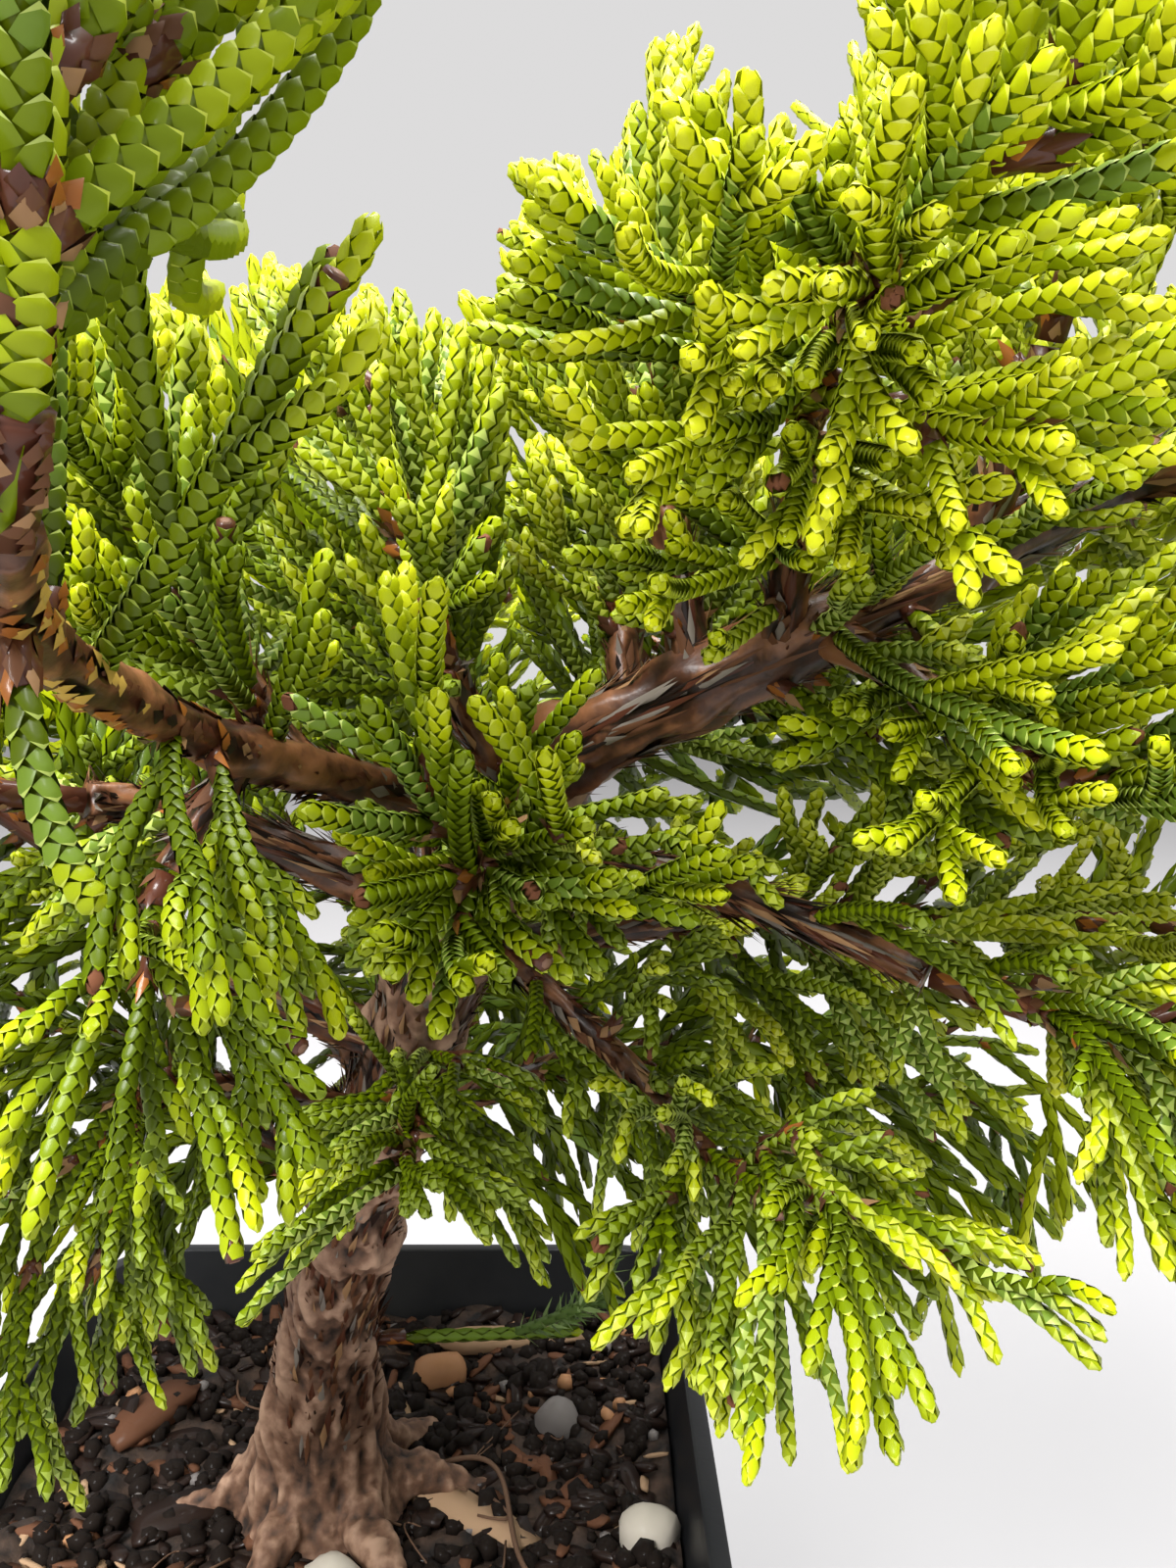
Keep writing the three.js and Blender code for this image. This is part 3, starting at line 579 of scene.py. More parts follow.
class CordField:
    """Remembers where cords pass, so that a new one keeps its distance."""

    def __init__(self, cell: float) -> None:
        """Start empty, in cells no smaller than the widest spacing asked for."""
        self.cell = cell
        self.cells: dict = {}

    def cell_of(self, place: Array) -> tuple[int, int, int]:
        """The cell that holds a place."""
        return tuple(int(math.floor(value / self.cell)) for value in place)

    def add(self, places: Array) -> None:
        """Remember the points of a cord."""
        for place in places:
            self.cells.setdefault(self.cell_of(place), []).append(place)

    def is_spaced(self, places: Array, spacing: float) -> bool:
        """Whether all places keep the spacing from every remembered point."""
        for place in places:
            corner = self.cell_of(place)
            near: list = []
            for step in NEIGHBOUR_CELLS:
                near += self.cells.get((corner[0] + step[0], corner[1] + step[1], corner[2] + step[2]), ())
            if near:
                gaps = np.array(near) - place
                if (gaps * gaps).sum(axis=1).min() < spacing**2:
                    return False
        return True


@dataclass
class CoarseRule:
    """The solids' own growth rule, with the same draws."""

    skeleton: Skeleton
    golden_angle: float = 2.39996
    shoot_first: float = 0.12
    shoot_lean: float = 1.05
    shoot_lean_spread: float = 0.3
    shoot_lean_taper: float = 0.5
    shoot_taper: float = 0.4
    shoot_length_least: float = 0.9
    shoot_length_spread: float = 0.4
    side_lean: float = 0.62
    side_share: float = 0.55
    side_spread: float = 0.2
    side_places: tuple = (0.3, 0.52, 0.74)
    shortest: float = 7
    curl: float = 0.34
    length_tries: tuple = (1, 0.8, 0.6)
    spacing_places: tuple = (0.5, 0.75, 1)
    cord_share: float = 0.052
    cord_least: float = 0.75
    cord_root: float = 0.4
    cord_end: float = 0.7
    spacing: float = 2.4
    spray_width: float = 2.8

    def cord_curve(self, start: Array, direction: Array, length: float, pull: Array) -> Curve:
        """A cord that leaves in one direction and curls towards its mass's habit."""
        middle = start + direction * length * 0.5
        end = start + direction * length + pull * length * self.curl
        return Curve(start, middle, end)

    def radius(self, kind: Kind, along: Array, thick: float) -> Array:
        """The radius of the solids' cord, which stands for several."""
        if kind is Kind.SIDE:
            return thick * self.spray_width * (1 - np.abs(2 * along - 1))
        rising = self.cord_root + (1 - self.cord_root) * along * 2
        falling = 1 + (self.cord_end - 1) * (along * 2 - 1)
        return thick * np.where(along < 0.5, rising, falling)

    def fitting_cord(self, kind: Kind, start: Array, direction: Array, length: float,
                     mass: Mass, places: list) -> Curve | None:
        """One cord of the solids, or nothing where it would not fit.

        Args:
            kind: shoot or side cord.
            start: where it leaves.
            direction: its first direction.
            length: its wished length.
            mass: the mass that it belongs to.
            places: points of the cords that the mass already has, to which this one's are added.

        Returns:
            The curve, or None.
        """
        checks = self.skeleton.path_checks
        along = np.arange(1, checks + 1) / checks
        thick = max(self.cord_least, mass.girth * self.cord_share)
        for share in self.length_tries:
            run = length * share
            if run < self.shortest:
                break
            curve = self.cord_curve(start, direction, run, mass.habit.pull)
            tested = along * run >= 2 * thick
            radii = self.radius(kind, along, thick)
            if not self.skeleton.is_free(curve.points(along[tested]), radii[tested], mass).all():
                continue
            outer = curve.points(np.array(self.spacing_places))
            if places:
                gaps = np.linalg.norm(np.array(places)[:, None] - outer[None], axis=-1)
                if gaps.min() <= thick * self.spacing:
                    return None
            places.extend(outer)
            return curve
        return None

    def cords_of(self, mass: Mass, stem: Curve) -> list[Curve]:
        """The shoots and side cords of a mass."""
        numbers = SeededNumbers(mass.seed)
        places: list = []
        cords = []
        for shoot in range(mass.shoots):
            along = self.shoot_first + (1 - self.shoot_first) * (shoot + numbers.draw()) / mass.shoots
            turn = shoot * self.golden_angle + numbers.draw()
            lean = self.shoot_lean * (1 - self.shoot_lean_taper * along)
            lean += self.shoot_lean_spread * (numbers.draw() - 0.5)
            fullness = self.shoot_length_least + self.shoot_length_spread * numbers.draw()
            length = mass.girth * (1 - self.shoot_taper * along) * fullness
            side_draws = [numbers.draw() for _ in self.side_places]
            direction = leaning_from(stem.tangents(along), lean, turn)
            curve = self.fitting_cord(Kind.SHOOT, stem.points(along), direction, length, mass, places)
            if curve is None:
                continue
            cords.append(curve)
            for index, (place, draw) in enumerate(zip(self.side_places, side_draws)):
                side = 1 if index % 2 == 0 else -1
                side_length = length * (self.side_share + self.side_spread * draw)
                side_turn = side * math.pi / 2 + turn + draw
                side_direction = leaning_from(curve.tangents(place), self.side_lean, side_turn)
                start = curve.points(place)
                side_curve = self.fitting_cord(Kind.SIDE, start, side_direction, side_length, mass, places)
                if side_curve is not None:
                    cords.append(side_curve)
        return cords


@dataclass
class Span:
    """A stretch of a limb from which shoots may leave."""

    limb: Limb
    first: float
    last: float

    def __post_init__(self) -> None:
        """Measure the stretch."""
        self.length = (self.last - self.first) * self.limb.curve.length()


@dataclass(frozen=True)
class Branching:
    """How the cords of one kind leave the cord that carries them.

    Steps and lengths are in millimetres, leans and turns in radians, radii are shares of the usual
    one, and the other pairs are the bounds of a random share.
    """

    kind: Kind
    step: float
    first: tuple[float, float]
    following: tuple[float, float]
    lean: float
    lean_share: tuple[float, float]
    turn_spread: float
    run_share: tuple[float, float]
    run_more: float
    end_margin: float
    least: float
    radii: tuple[float, float]
    longest: float = math.inf
    curl: tuple[float, float] | None = None


SIDES = Branching(Kind.SIDE, 3.1, (0.6, 1.4), (0.45, 1.35), 0.6, (0.65, 1.35), 0.5, (0.55, 1.05), 2, 2, 3,
                  (1, 0.94), longest=16, curl=(0.1, 1.1))
BRANCHLETS = Branching(Kind.BRANCHLET, 2.7, (0.8, 1.6), (0.6, 1.5), 0.6, (0.8, 1.3), 0.4, (0.5, 1.0), 1.5,
                       1.5, 2.2, (0.94, 0.88))


@dataclass
class FineRule:
    """Carries the solids' cords on to finer ones within the same space."""

    skeleton: Skeleton
    radius: float = 0.52
    hanging_radius: float = 0.45
    back_radius: float = 0.58
    spacing: float = 1.38
    back_spacing: float = 2.15
    back_reach: float = 98
    cord_check: float = 1.3
    root_free: float = 3.2
    length_tries: tuple = (1, 0.75, 0.5)
    stem_first: float = 0.02
    limb_first: float = 0.15
    carrier_first: float = 0.3
    carrier_reach: float = 8
    shoots_per_mm: float = 0.8
    girth_of_one: float = 24
    shoot_turns: int = 4
    shoot_least: float = 8
    shoot_reach: tuple = (0.5, 1.15)
    shoot_curl: tuple = (0.1, 1.3)
    shoot_retry: float = 1.7
    shoot_lean: float = 1.1
    shoot_lean_taper: float = 0.6
    shoot_lean_spread: float = 0.3
    shoot_foot: float = 1.1
    curl: float = 0.34
    sway: float = 0.09
    sway_turns: float = 2.1
    follow: float = 0.5
    stem_thickest: float = 0.85
    trunk_stem_foot: float = 1.2
    wood_of_shoot: float = 2
    wood_of_stem: float = 0.28
    cut_share: float = 0.03
    dry_share: float = 0.05
    seed_shift: int = 1000

    def __post_init__(self) -> None:
        """Start with the solids' rule and no cords."""
        self.coarse = CoarseRule(self.skeleton)
        self.passed = CordField(self.back_spacing)

    def is_far(self, place: Array) -> bool:
        """Whether a place is far from the crown's open front."""
        return bool(np.linalg.norm(place - np.array(self.skeleton.front_point)) > self.back_reach)

    def spacing_at(self, place: Array) -> float:
        """The least distance between cords, which is wider far from the open front."""
        return self.back_spacing if self.is_far(place) else self.spacing

    def radius_of(self, mass: Mass) -> float:
        """The radius of a mass's cords: thin where they hang, thicker far from the open front."""
        if self.is_far(np.array(mass.end)):
            return self.back_radius
        return self.hanging_radius if mass.habit is Habit.HANGING else self.radius

    def fitting_cord(self, start: Array, direction: Array, length: float, mass: Mass,
                     least: float, curl: float, onward: Array) -> Curve | None:
        """One fine cord that keeps free and spaced.

        Args:
            start: where it leaves.
            direction: its first direction.
            length: its wished length.
            mass: the mass whose space it keeps to.
            least: the length below which it is skipped.
            curl: how much of the mass's habit it follows.
            onward: the direction of the cord that carries it, which it turns back to.

        Returns:
            The curve, or None where it would not fit.
        """
        pull = mass.habit.pull * self.curl * curl
        later = unit(direction * (1 - self.follow) + onward * self.follow)
        for share in self.length_tries:
            run = length * share
            if run < least:
                return None
            sway = square_to(direction) * math.sin(start.sum() * self.sway_turns) * run * self.sway
            middle = start + direction * run * 0.5
            curve = Curve(start, middle + sway, middle + later * run * 0.5 + pull * run - sway)
            count = max(3, int(run / self.cord_check))
            along = np.arange(1, count + 1) / count
            beyond = along * run > self.root_free
            places = curve.points(along[beyond]) if beyond.any() else curve.points(along[-1:])
            radii = np.full(len(places), self.radius_of(mass))
            if not self.skeleton.is_free(places, radii, mass).all():
                continue
            if self.passed.is_spaced(places, self.spacing_at(start)):
                self.passed.add(places)
                return curve
        return None

    def stem_cord(self, mass: Mass) -> Cord:
        """The mass's stem, which is wood over its first part."""
        limb = self.skeleton.limbs[mass.limb]
        is_on_trunk = mass.trunk_at is not None
        radius = self.radius_of(mass)
        base = radius * self.trunk_stem_foot if is_on_trunk else float(limb.radius_at(np.array(1.0)))
        stem = Cord(Kind.STEM, self.skeleton.stems[mass.name], (min(base, self.stem_thickest), radius), mass)
        stem.wood = stem.length * self.wood_of_stem
        return stem

    def grow(self, mass: Mass, first_spray: int) -> list[Cord]:
        """All cords of a mass, from the stem to the branchlets.

        Args:
            mass: the mass to grow.
            first_spray: the number of its first spray.

        Returns:
            The cords, each with the number of its spray.
        """
        numbers = SeededNumbers(mass.seed + self.seed_shift)
        stem = self.stem_cord(mass)
        radii = (self.radius_of(mass) * self.shoot_foot, self.radius_of(mass))
        leaders = []
        for curve in self.coarse.cords_of(mass, stem.curve):
            leader = Cord(Kind.SHOOT, curve, radii, mass)
            count = max(3, int(leader.length / self.cord_check))
            self.passed.add(curve.points(np.arange(1, count + 1) / count))
            leaders.append(leader)
        for curve in self.extra_shoots(mass, stem, numbers):
            leaders.append(Cord(Kind.SHOOT, curve, radii, mass))
        for number, leader in enumerate(leaders):
            leader.spray = first_spray + number
            leader.is_cut = numbers.draw() < self.cut_share
            leader.is_dry = numbers.draw() < self.dry_share
            leader.wood = self.wood_of_shoot * numbers.draw()
        stem.spray = first_spray
        cords = [stem, *leaders]
        for leader in leaders:
            cords += self.spray_of(leader, numbers)
        return cords

    def spans_for(self, mass: Mass, stem: Cord) -> list[Span]:
        """Where a mass's further shoots leave from.

        Args:
            mass: the mass.
            stem: its stem.

        Returns:
            The stem, its bough, and the limb that carries the bough, near where that leaves.
        """
        spans = [Span(Limb("stem", stem.curve, stem.radius_at), self.stem_first, 1.0)]
        if mass.trunk_at is not None:
            return spans
        spans.append(Span(self.skeleton.limbs[mass.limb], self.limb_first, 1.0))
        bough = next(bough for bough in BOUGHS if bough.name == mass.limb)
        carrier = self.skeleton.limbs[bough.parent]
        reach = self.carrier_reach / carrier.curve.length()
        first, last = max(bough.at - reach, self.carrier_first), min(bough.at + reach, 1.0)
        if first < last:
            spans.append(Span(carrier, first, last))
        return spans

    def extra_shoots(self, mass: Mass, stem: Cord, numbers: SeededNumbers) -> list[Curve]:
        """Further shoots along the stem, its bough and the limb that carries the bough."""
        spans = self.spans_for(mass, stem)
        run = sum(span.length for span in spans)
        wanted = self.shoots_per_mm * run * mass.girth / self.girth_of_one * mass.fullness
        curves = []
        for shoot in range(round(wanted)):
            pick = numbers.draw() * run
            for span in spans:
                if pick < span.length:
                    break
                pick -= span.length
            along = span.first + (span.last - span.first) * numbers.draw()
            outer = along if span is spans[0] else 0.0
            reach = numbers.between(*self.shoot_reach) * mass.girth * (1 - self.coarse.shoot_taper * outer)
            curl = numbers.between(*self.shoot_curl)
            onward = span.limb.curve.tangents(along)
            thick = float(span.limb.radius_at(np.array(along)))
            for attempt in range(self.shoot_turns):
                turn = (shoot + attempt * self.shoot_retry) * self.coarse.golden_angle + numbers.draw()
                lean = self.coarse.shoot_lean * (self.shoot_lean - self.shoot_lean_taper * outer)
                lean += numbers.between(-self.shoot_lean_spread, self.shoot_lean_spread)
                direction = leaning_from(onward, lean, turn)
                start = span.limb.curve.points(along) + direction * max(thick - self.radius, 0)
                curve = self.fitting_cord(start, direction, reach, mass, self.shoot_least, curl, direction)
                if curve is not None:
                    curves.append(curve)
                    break
        return curves

    def spray_of(self, leader: Cord, numbers: SeededNumbers) -> list[Cord]:
        """The side cords and branchlets of one leader, all round it, with tips that end together."""
        turn = numbers.between(0, 2 * math.pi)
        sides = self.branches_of(leader, SIDES, turn, numbers.between(*SIDES.first), numbers)
        branchlets = []
        for side in sides:
            first = numbers.between(*BRANCHLETS.first)
            turn = numbers.between(0, 2 * math.pi)
            branchlets += self.branches_of(side, BRANCHLETS, turn, first, numbers)
        return sides + branchlets

    def branches_of(self, carrier: Cord, branching: Branching, turn: float, first: float,
                    numbers: SeededNumbers) -> list[Cord]:
        """The cords of one kind that leave another cord.

        Args:
            carrier: the cord that they leave.
            branching: how they leave it.
            turn: the angle of the first one round the carrier.
            first: its place, in steps.
            numbers: random draws.

        Returns:
            Those that fit.
        """
        cords = []
        mass, length, spread = carrier.mass, carrier.length, branching.turn_spread
        foot, tip = (self.radius_of(mass) * share for share in branching.radii)
        place = branching.step * first
        while place < length - branching.end_margin:
            share = place / length
            wished = (length - place) * numbers.between(*branching.run_share) + branching.run_more
            onward = carrier.curve.tangents(share)
            lean = branching.lean * numbers.between(*branching.lean_share)
            direction = leaning_from(onward, lean, turn)
            curl = numbers.between(*branching.curl) if branching.curl else 1.0
            curve = self.fitting_cord(carrier.curve.points(share), direction, min(branching.longest, wished),
                                      mass, branching.least, curl, onward)
            if curve is not None:
                cord = Cord(branching.kind, curve, (foot, tip), mass, carrier.spray)
                if branching.kind is Kind.SIDE:
                    cord.is_dry = numbers.draw() < self.dry_share
                cords.append(cord)
            turn += self.coarse.golden_angle + numbers.between(-spread, spread)
            place += branching.step * numbers.between(*branching.following)
        return cords


# Meshes from arrays


class MeshBuffer:
    """Gathers vertices, triangles and slots of many small shapes into one mesh."""

    def __init__(self) -> None:
        """Start empty."""
        self.vertices: list = []
        self.faces: list = []
        self.slots: list = []
        self.count = 0
        self.triangles = 0

    def add(self, vertices: Array, faces: Array, slots: Array | int) -> None:
        """Add a shape, with one slot for all its faces or one for each."""
        self.vertices.append(vertices)
        self.faces.append(faces + self.count)
        self.slots.append(np.broadcast_to(slots, len(faces)))
        self.count += len(vertices)
        self.triangles += len(faces)

    def to_object(self, name: str, finishes: list) -> Object:
        """The gathered shapes as one smooth shaded object.

        Args:
            name: the piece's name.
            finishes: its materials in the order of the slots.

        Returns:
            The new object.
        """
        vertices = np.concatenate(self.vertices) * MM
        faces = np.concatenate(self.faces)
        slots = np.concatenate(self.slots)
        mesh = bpy.data.meshes.new(name)
        mesh.vertices.add(len(vertices))
        mesh.vertices.foreach_set("co", vertices.astype(np.float32).ravel())
        mesh.loops.add(len(faces) * 3)
        mesh.loops.foreach_set("vertex_index", faces.astype(np.int32).ravel())
        mesh.polygons.add(len(faces))
        mesh.polygons.foreach_set("loop_start", np.arange(0, len(faces) * 3, 3, dtype=np.int32))
        mesh.polygons.foreach_set("material_index", slots.astype(np.int32))
        mesh.update(calc_edges=True)
        mesh.validate()
        mesh.shade_smooth()
        piece = bpy.data.objects.new(name, mesh)
        bpy.context.scene.collection.objects.link(piece)
        for finish in finishes:
            mesh.materials.append(finish)
        return piece


def ring_faces(sides: int, rings: int) -> Array:
    """Triangles of rings of corners that are closed by a point at both ends."""
    corner = np.arange(sides)
    following = (corner + 1) % sides
    faces = []
    for ring in range(rings - 1):
        one, upper = ring * sides, (ring + 1) * sides
        faces.append(np.stack([one + corner, one + following, upper + following], axis=1))
        faces.append(np.stack([one + corner, upper + following, upper + corner], axis=1))
    foot, tip = sides * rings, sides * rings + 1
    last = (rings - 1) * sides
    faces.append(np.stack([np.full(sides, foot), following, corner], axis=1))
    faces.append(np.stack([np.full(sides, tip), last + corner, last + following], axis=1))
    return np.concatenate(faces)


def even(thick: float) -> Callable:
    """A radius that is the same everywhere, for arrays of shares, with or without angles."""
    return lambda shares, _angles=None: np.full_like(shares, thick)


def tube(curve: Curve, radius_at: Callable, sides: int, rings: int | Array,
         turn: float = 0.0) -> tuple[Array, Array]:
    """A closed tube along a curve.

    Args:
        curve: its middle line.
        radius_at: gives the radius for arrays of shares and angles.
        sides: corners round it.
        rings: the number of equal sections along it, or the shares at which they part.
        turn: the angle of the first corner.

    Returns:
        Vertices and triangles, from the foot to the tip, with both closing fans at the end.
    """
    stations = np.linspace(0, 1, rings + 1) if isinstance(rings, int) else rings
    shares = np.repeat(stations[:, None], sides, axis=1)
    corners = turn + np.linspace(0, 2 * math.pi, sides, endpoint=False)
    angles = np.repeat(corners[None], len(stations), axis=0)
    rows = curve.around(shares, angles, radius_at(shares, angles)).reshape(-1, 3)
    vertices = np.concatenate([rows, [curve.points(0.0), curve.points(1.0)]])
    return vertices, ring_faces(sides, len(stations))[:, [0, 2, 1]]


# Finishes


def new_material(name: str) -> tuple[Material, Node]:
    """A new material and its Principled shader."""
    material = bpy.data.materials.new(name)
    material.use_nodes = True
    return material, material.node_tree.nodes["Principled BSDF"]


def add_noise(tree: NodeTree, scale: float, detail: float) -> NodeSocket:
    """Add noise over the object's own space, and give its height."""
    place = tree.nodes.new("ShaderNodeTexCoord")
    noise = tree.nodes.new("ShaderNodeTexNoise")
    noise.inputs["Scale"].default_value = scale
    noise.inputs["Detail"].default_value = detail
    tree.links.new(place.outputs["Object"], noise.inputs["Vector"])
    return noise.outputs["Fac"]


def add_bump(tree: NodeTree, height: NodeSocket, strength: float, distance: float) -> NodeSocket:
    """Add a bump that follows a height, and give its normal."""
    bump = tree.nodes.new("ShaderNodeBump")
    bump.inputs["Strength"].default_value = strength
    bump.inputs["Distance"].default_value = distance
    tree.links.new(height, bump.inputs["Height"])
    return bump.outputs["Normal"]


def add_ramp(tree: NodeTree, height: NodeSocket, stops: tuple) -> NodeSocket:
    """Add a run of colours from a low stop to a high one, and give its colour."""
    ramp = tree.nodes.new("ShaderNodeValToRGB")
    for element, (position, colour) in zip(ramp.color_ramp.elements, stops):
        element.position = position
        element.color = (*colour, 1)
    tree.links.new(height, ramp.inputs["Fac"])
    return ramp.outputs["Color"]


@dataclass(frozen=True)
class PlainFinish:
    """A finish of one colour, for small leaves and scales that take their colour by slot."""

    name: str
    colour: tuple[float, float, float]
    roughness: float = 0.42
    coat: float = 0.1
    coat_roughness: float = 0.1
    specular: float = 0.16

    def material(self) -> Material:
        """The finish as a material."""
        material, shader = new_material(self.name)
        shader.inputs["Base Color"].default_value = (*self.colour, 1)
        shader.inputs["Roughness"].default_value = self.roughness
        shader.inputs["Coat Weight"].default_value = self.coat
        shader.inputs["Coat Roughness"].default_value = self.coat_roughness
        shader.inputs["Specular IOR Level"].default_value = self.specular
        return material


class FinishSlot(Enum):
    """A slot of a piece, whose value is its finish."""

    @property
    def number(self) -> int:
        """The slot's place in its piece."""
        return list(type(self)).index(self)

    @classmethod
    def materials(cls) -> list[Material]:
        """The materials of all slots, in their order."""
        return [slot.value.material() for slot in cls]


class LeafSlot(FinishSlot):
    """The slots of a leaf piece: five greens from light to dark, their edges, and the others."""

    # Bright to shade, with their edges, are lit and shaded copies of one green: painted light and painted
    # shade.
    LIME = PlainFinish("leaf_lime", (0.6, 0.635, 0.01))
    BRIGHT = PlainFinish("leaf_bright", (0.435, 0.495, 0.003))
    MID = PlainFinish("leaf_mid", (0.285, 0.35, 0.002))
    DEEP = PlainFinish("leaf_deep", (0.155, 0.215, 0.001))
    SHADE = PlainFinish("leaf_shade", (0.08, 0.118, 0.001))
    LIME_EDGE = PlainFinish("leaf_lime_edge", (0.7, 0.74, 0.12))
    BRIGHT_EDGE = PlainFinish("leaf_bright_edge", (0.6, 0.66, 0.07))
    MID_EDGE = PlainFinish("leaf_mid_edge", (0.45, 0.52, 0.06))
    DEEP_EDGE = PlainFinish("leaf_deep_edge", (0.28, 0.36, 0.05))
    NEEDLE = PlainFinish("needle", (0.13, 0.21, 0.05), 0.5, 0.06)
    NEEDLE_LIGHT = PlainFinish("needle_light", (0.27, 0.38, 0.13), 0.5, 0.06)
    DRY = PlainFinish("leaf_dry", (0.15, 0.055, 0.025), 0.7, 0)
    COOL = PlainFinish("leaf_cool", (0.14, 0.22, 0.02))
    COOL_EDGE = PlainFinish("leaf_cool_edge", (0.4, 0.49, 0.11))


# The greens from lit to shaded, dealt out as painted light and painted shade.
TONES = (LeafSlot.LIME, LeafSlot.BRIGHT, LeafSlot.MID, LeafSlot.DEEP, LeafSlot.SHADE)
EDGES = (LeafSlot.LIME_EDGE, LeafSlot.BRIGHT_EDGE, LeafSlot.MID_EDGE, LeafSlot.DEEP_EDGE, LeafSlot.DEEP)


# Leaves


@dataclass(frozen=True)
class LeafShape:
    """One scale leaf's corners and faces, how closely its pairs follow, and the core under them.

    A corner is a share of the leaf's length, an angle from its middle in degrees and a share of the
    cord's radius.
    """

    corners: tuple
    green_faces: tuple
    edge_faces: tuple
    pitch: float
    core_sides: int = 4
    core_step: float = 2.7
    core_share: float = 0.85

    def faces(self) -> Array:
        """All faces, the green ones first."""
        return np.array(self.green_faces + self.edge_faces)


NEAR_LEAF = LeafShape(
    corners=((-0.05, 0, 0.9), (0.34, -57, 0.92), (0.72, -36, 0.99), (0.87, 0, 1.1),
             (0.72, 36, 0.99), (0.34, 57, 0.92), (0.58, 0, 1.19), (1.0, 0, 1.02)),
    green_faces=((0, 1, 6), (1, 2, 6), (2, 3, 6), (3, 4, 6), (4, 5, 6), (5, 0, 6)),
    edge_faces=((2, 7, 3), (4, 3, 7)),
    pitch=0.38,
)

MIDDLE_LEAF = LeafShape(
    corners=((-0.05, 0, 0.9), (0.45, -57, 0.94), (0.45, 57, 0.94), (0.56, 0, 1.19), (1.0, 0, 1.04)),
    green_faces=((0, 1, 3), (0, 3, 2)),
    edge_faces=((1, 4, 3), (3, 4, 2)),
    pitch=0.43,
)

FAR_LEAF = LeafShape(
    corners=((-0.05, 0, 0.84), (0.5, -60, 0.96), (0.5, 60, 0.96), (0.55, 0, 1.16), (1.0, 0, 1.06)),
    green_faces=((0, 1, 3), (0, 3, 2), (1, 4, 3), (3, 4, 2)),
    edge_faces=(),
    pitch=0.98,
    core_sides=3,
    core_step=5,
    core_share=0.74,
)


@dataclass(frozen=True)
class Colouring:
    """The slots of a cord's leaves: at its foot, over most of it, at its tip, and its edges."""

    foot: LeafSlot
    body: LeafSlot
    tip: LeafSlot
    edge: LeafSlot
    tip_edge: LeafSlot
    tip_run: float


@dataclass
class ScaleLeaves:
    """Covers cords with overlapping pairs of scale leaves."""

    length_per_pitch: float = 2.4
    foot_share: float = 0.3
    near_reach: float = 60
    middle_reach: float = 92
    core_tip: float = 0.7
    core_tip_share: float = 0.3
    rounding_run: float = 1.6
    rounding_least: float = 0.12

    def shape_for(self, reach: float) -> LeafShape:
        """The leaf shape at a distance from the crown's open front."""
        if reach < self.near_reach:
            return NEAR_LEAF
        return MIDDLE_LEAF if reach < self.middle_reach else FAR_LEAF

    def cover(self, cord: Cord, shape: LeafShape, buffer: MeshBuffer, colours: Colouring,
              twist: float) -> None:
        """Add the leaves of a cord beyond its wood.

        Args:
            cord: the cord to cover.
            shape: the leaves' shape.
            buffer: where the leaves go.
            colours: their slots.
            twist: the first pair's turn.
        """
        rows = np.array(shape.corners, float)
        along, angle, rise = rows[:, 0], np.radians(rows[:, 1]), rows[:, 2]
        pairs = max(1, int((cord.length - cord.wood) / shape.pitch))
        foot = cord.wood + np.arange(pairs) * shape.pitch
        leaf_length = self.length_per_pitch * shape.pitch
        places = (foot[:, None, None] + along[None, None] * leaf_length) * np.ones((1, 2, 1))
        facing = (np.arange(pairs) % 2)[:, None] * (math.pi / 2) + np.array([0, math.pi])[None] + twist
        angles = facing[..., None] + angle[None, None]
        end_room = np.clip((cord.length - places) / (self.rounding_run * cord.radii[1]), 0, 1)
        rounding = np.where(cord.is_cut, 1, np.sqrt(1 - (1 - end_room) ** 2))
        rounding = self.rounding_least + (1 - self.rounding_least) * rounding
        shares = places / cord.length
        vertices = cord.curve.around(shares, angles, cord.radius_at(shares) * rise[None, None] * rounding)
        faces = shape.faces()
        leaves = pairs * 2
        offsets = (np.arange(leaves) * len(rows))[:, None, None]
        green = len(shape.green_faces)
        share = foot / cord.length
        tone = np.where(share < self.foot_share, colours.foot.number, colours.body.number)
        is_tip = foot > cord.length - colours.tip_run
        tone = np.where(is_tip, colours.tip.number, tone)
        edge = np.where(is_tip, colours.tip_edge.number, colours.edge.number)
        slots = np.repeat(np.repeat(edge, 2)[:, None], len(faces), axis=1)
        slots[:, :green] = np.repeat(tone, 2)[:, None]
        buffer.add(vertices.reshape(-1, 3), (faces[None] + offsets).reshape(-1, 3), slots.ravel())

    def core(self, cord: Cord, shape: LeafShape, buffer: MeshBuffer, body: LeafSlot, tip: LeafSlot,
             twist: float) -> None:
        """Add the cord's own body, which closes the gaps between its leaves, with a bud at its tip."""
        shoulder = 1 - self.core_tip / cord.length

        def radius(shares: Array, _angles: Array) -> Array:
            """The core's radius, a little under the leaves."""
            narrowing = np.where(shares > shoulder, self.core_tip_share, 1)
            return cord.radius_at(shares) * shape.core_share * narrowing

        rings = max(1, round(cord.length / shape.core_step))
        stations = np.append(np.linspace(0, shoulder, rings + 1), 1.0)
        sides = shape.core_sides
        vertices, faces = tube(cord.curve, radius, sides, stations, twist)
        slots = np.full(len(faces), body.number)
        slots[2 * sides * rings : 2 * sides * (rings + 1)] = tip.number
        slots[-sides:] = tip.number
        buffer.add(vertices, faces, slots)


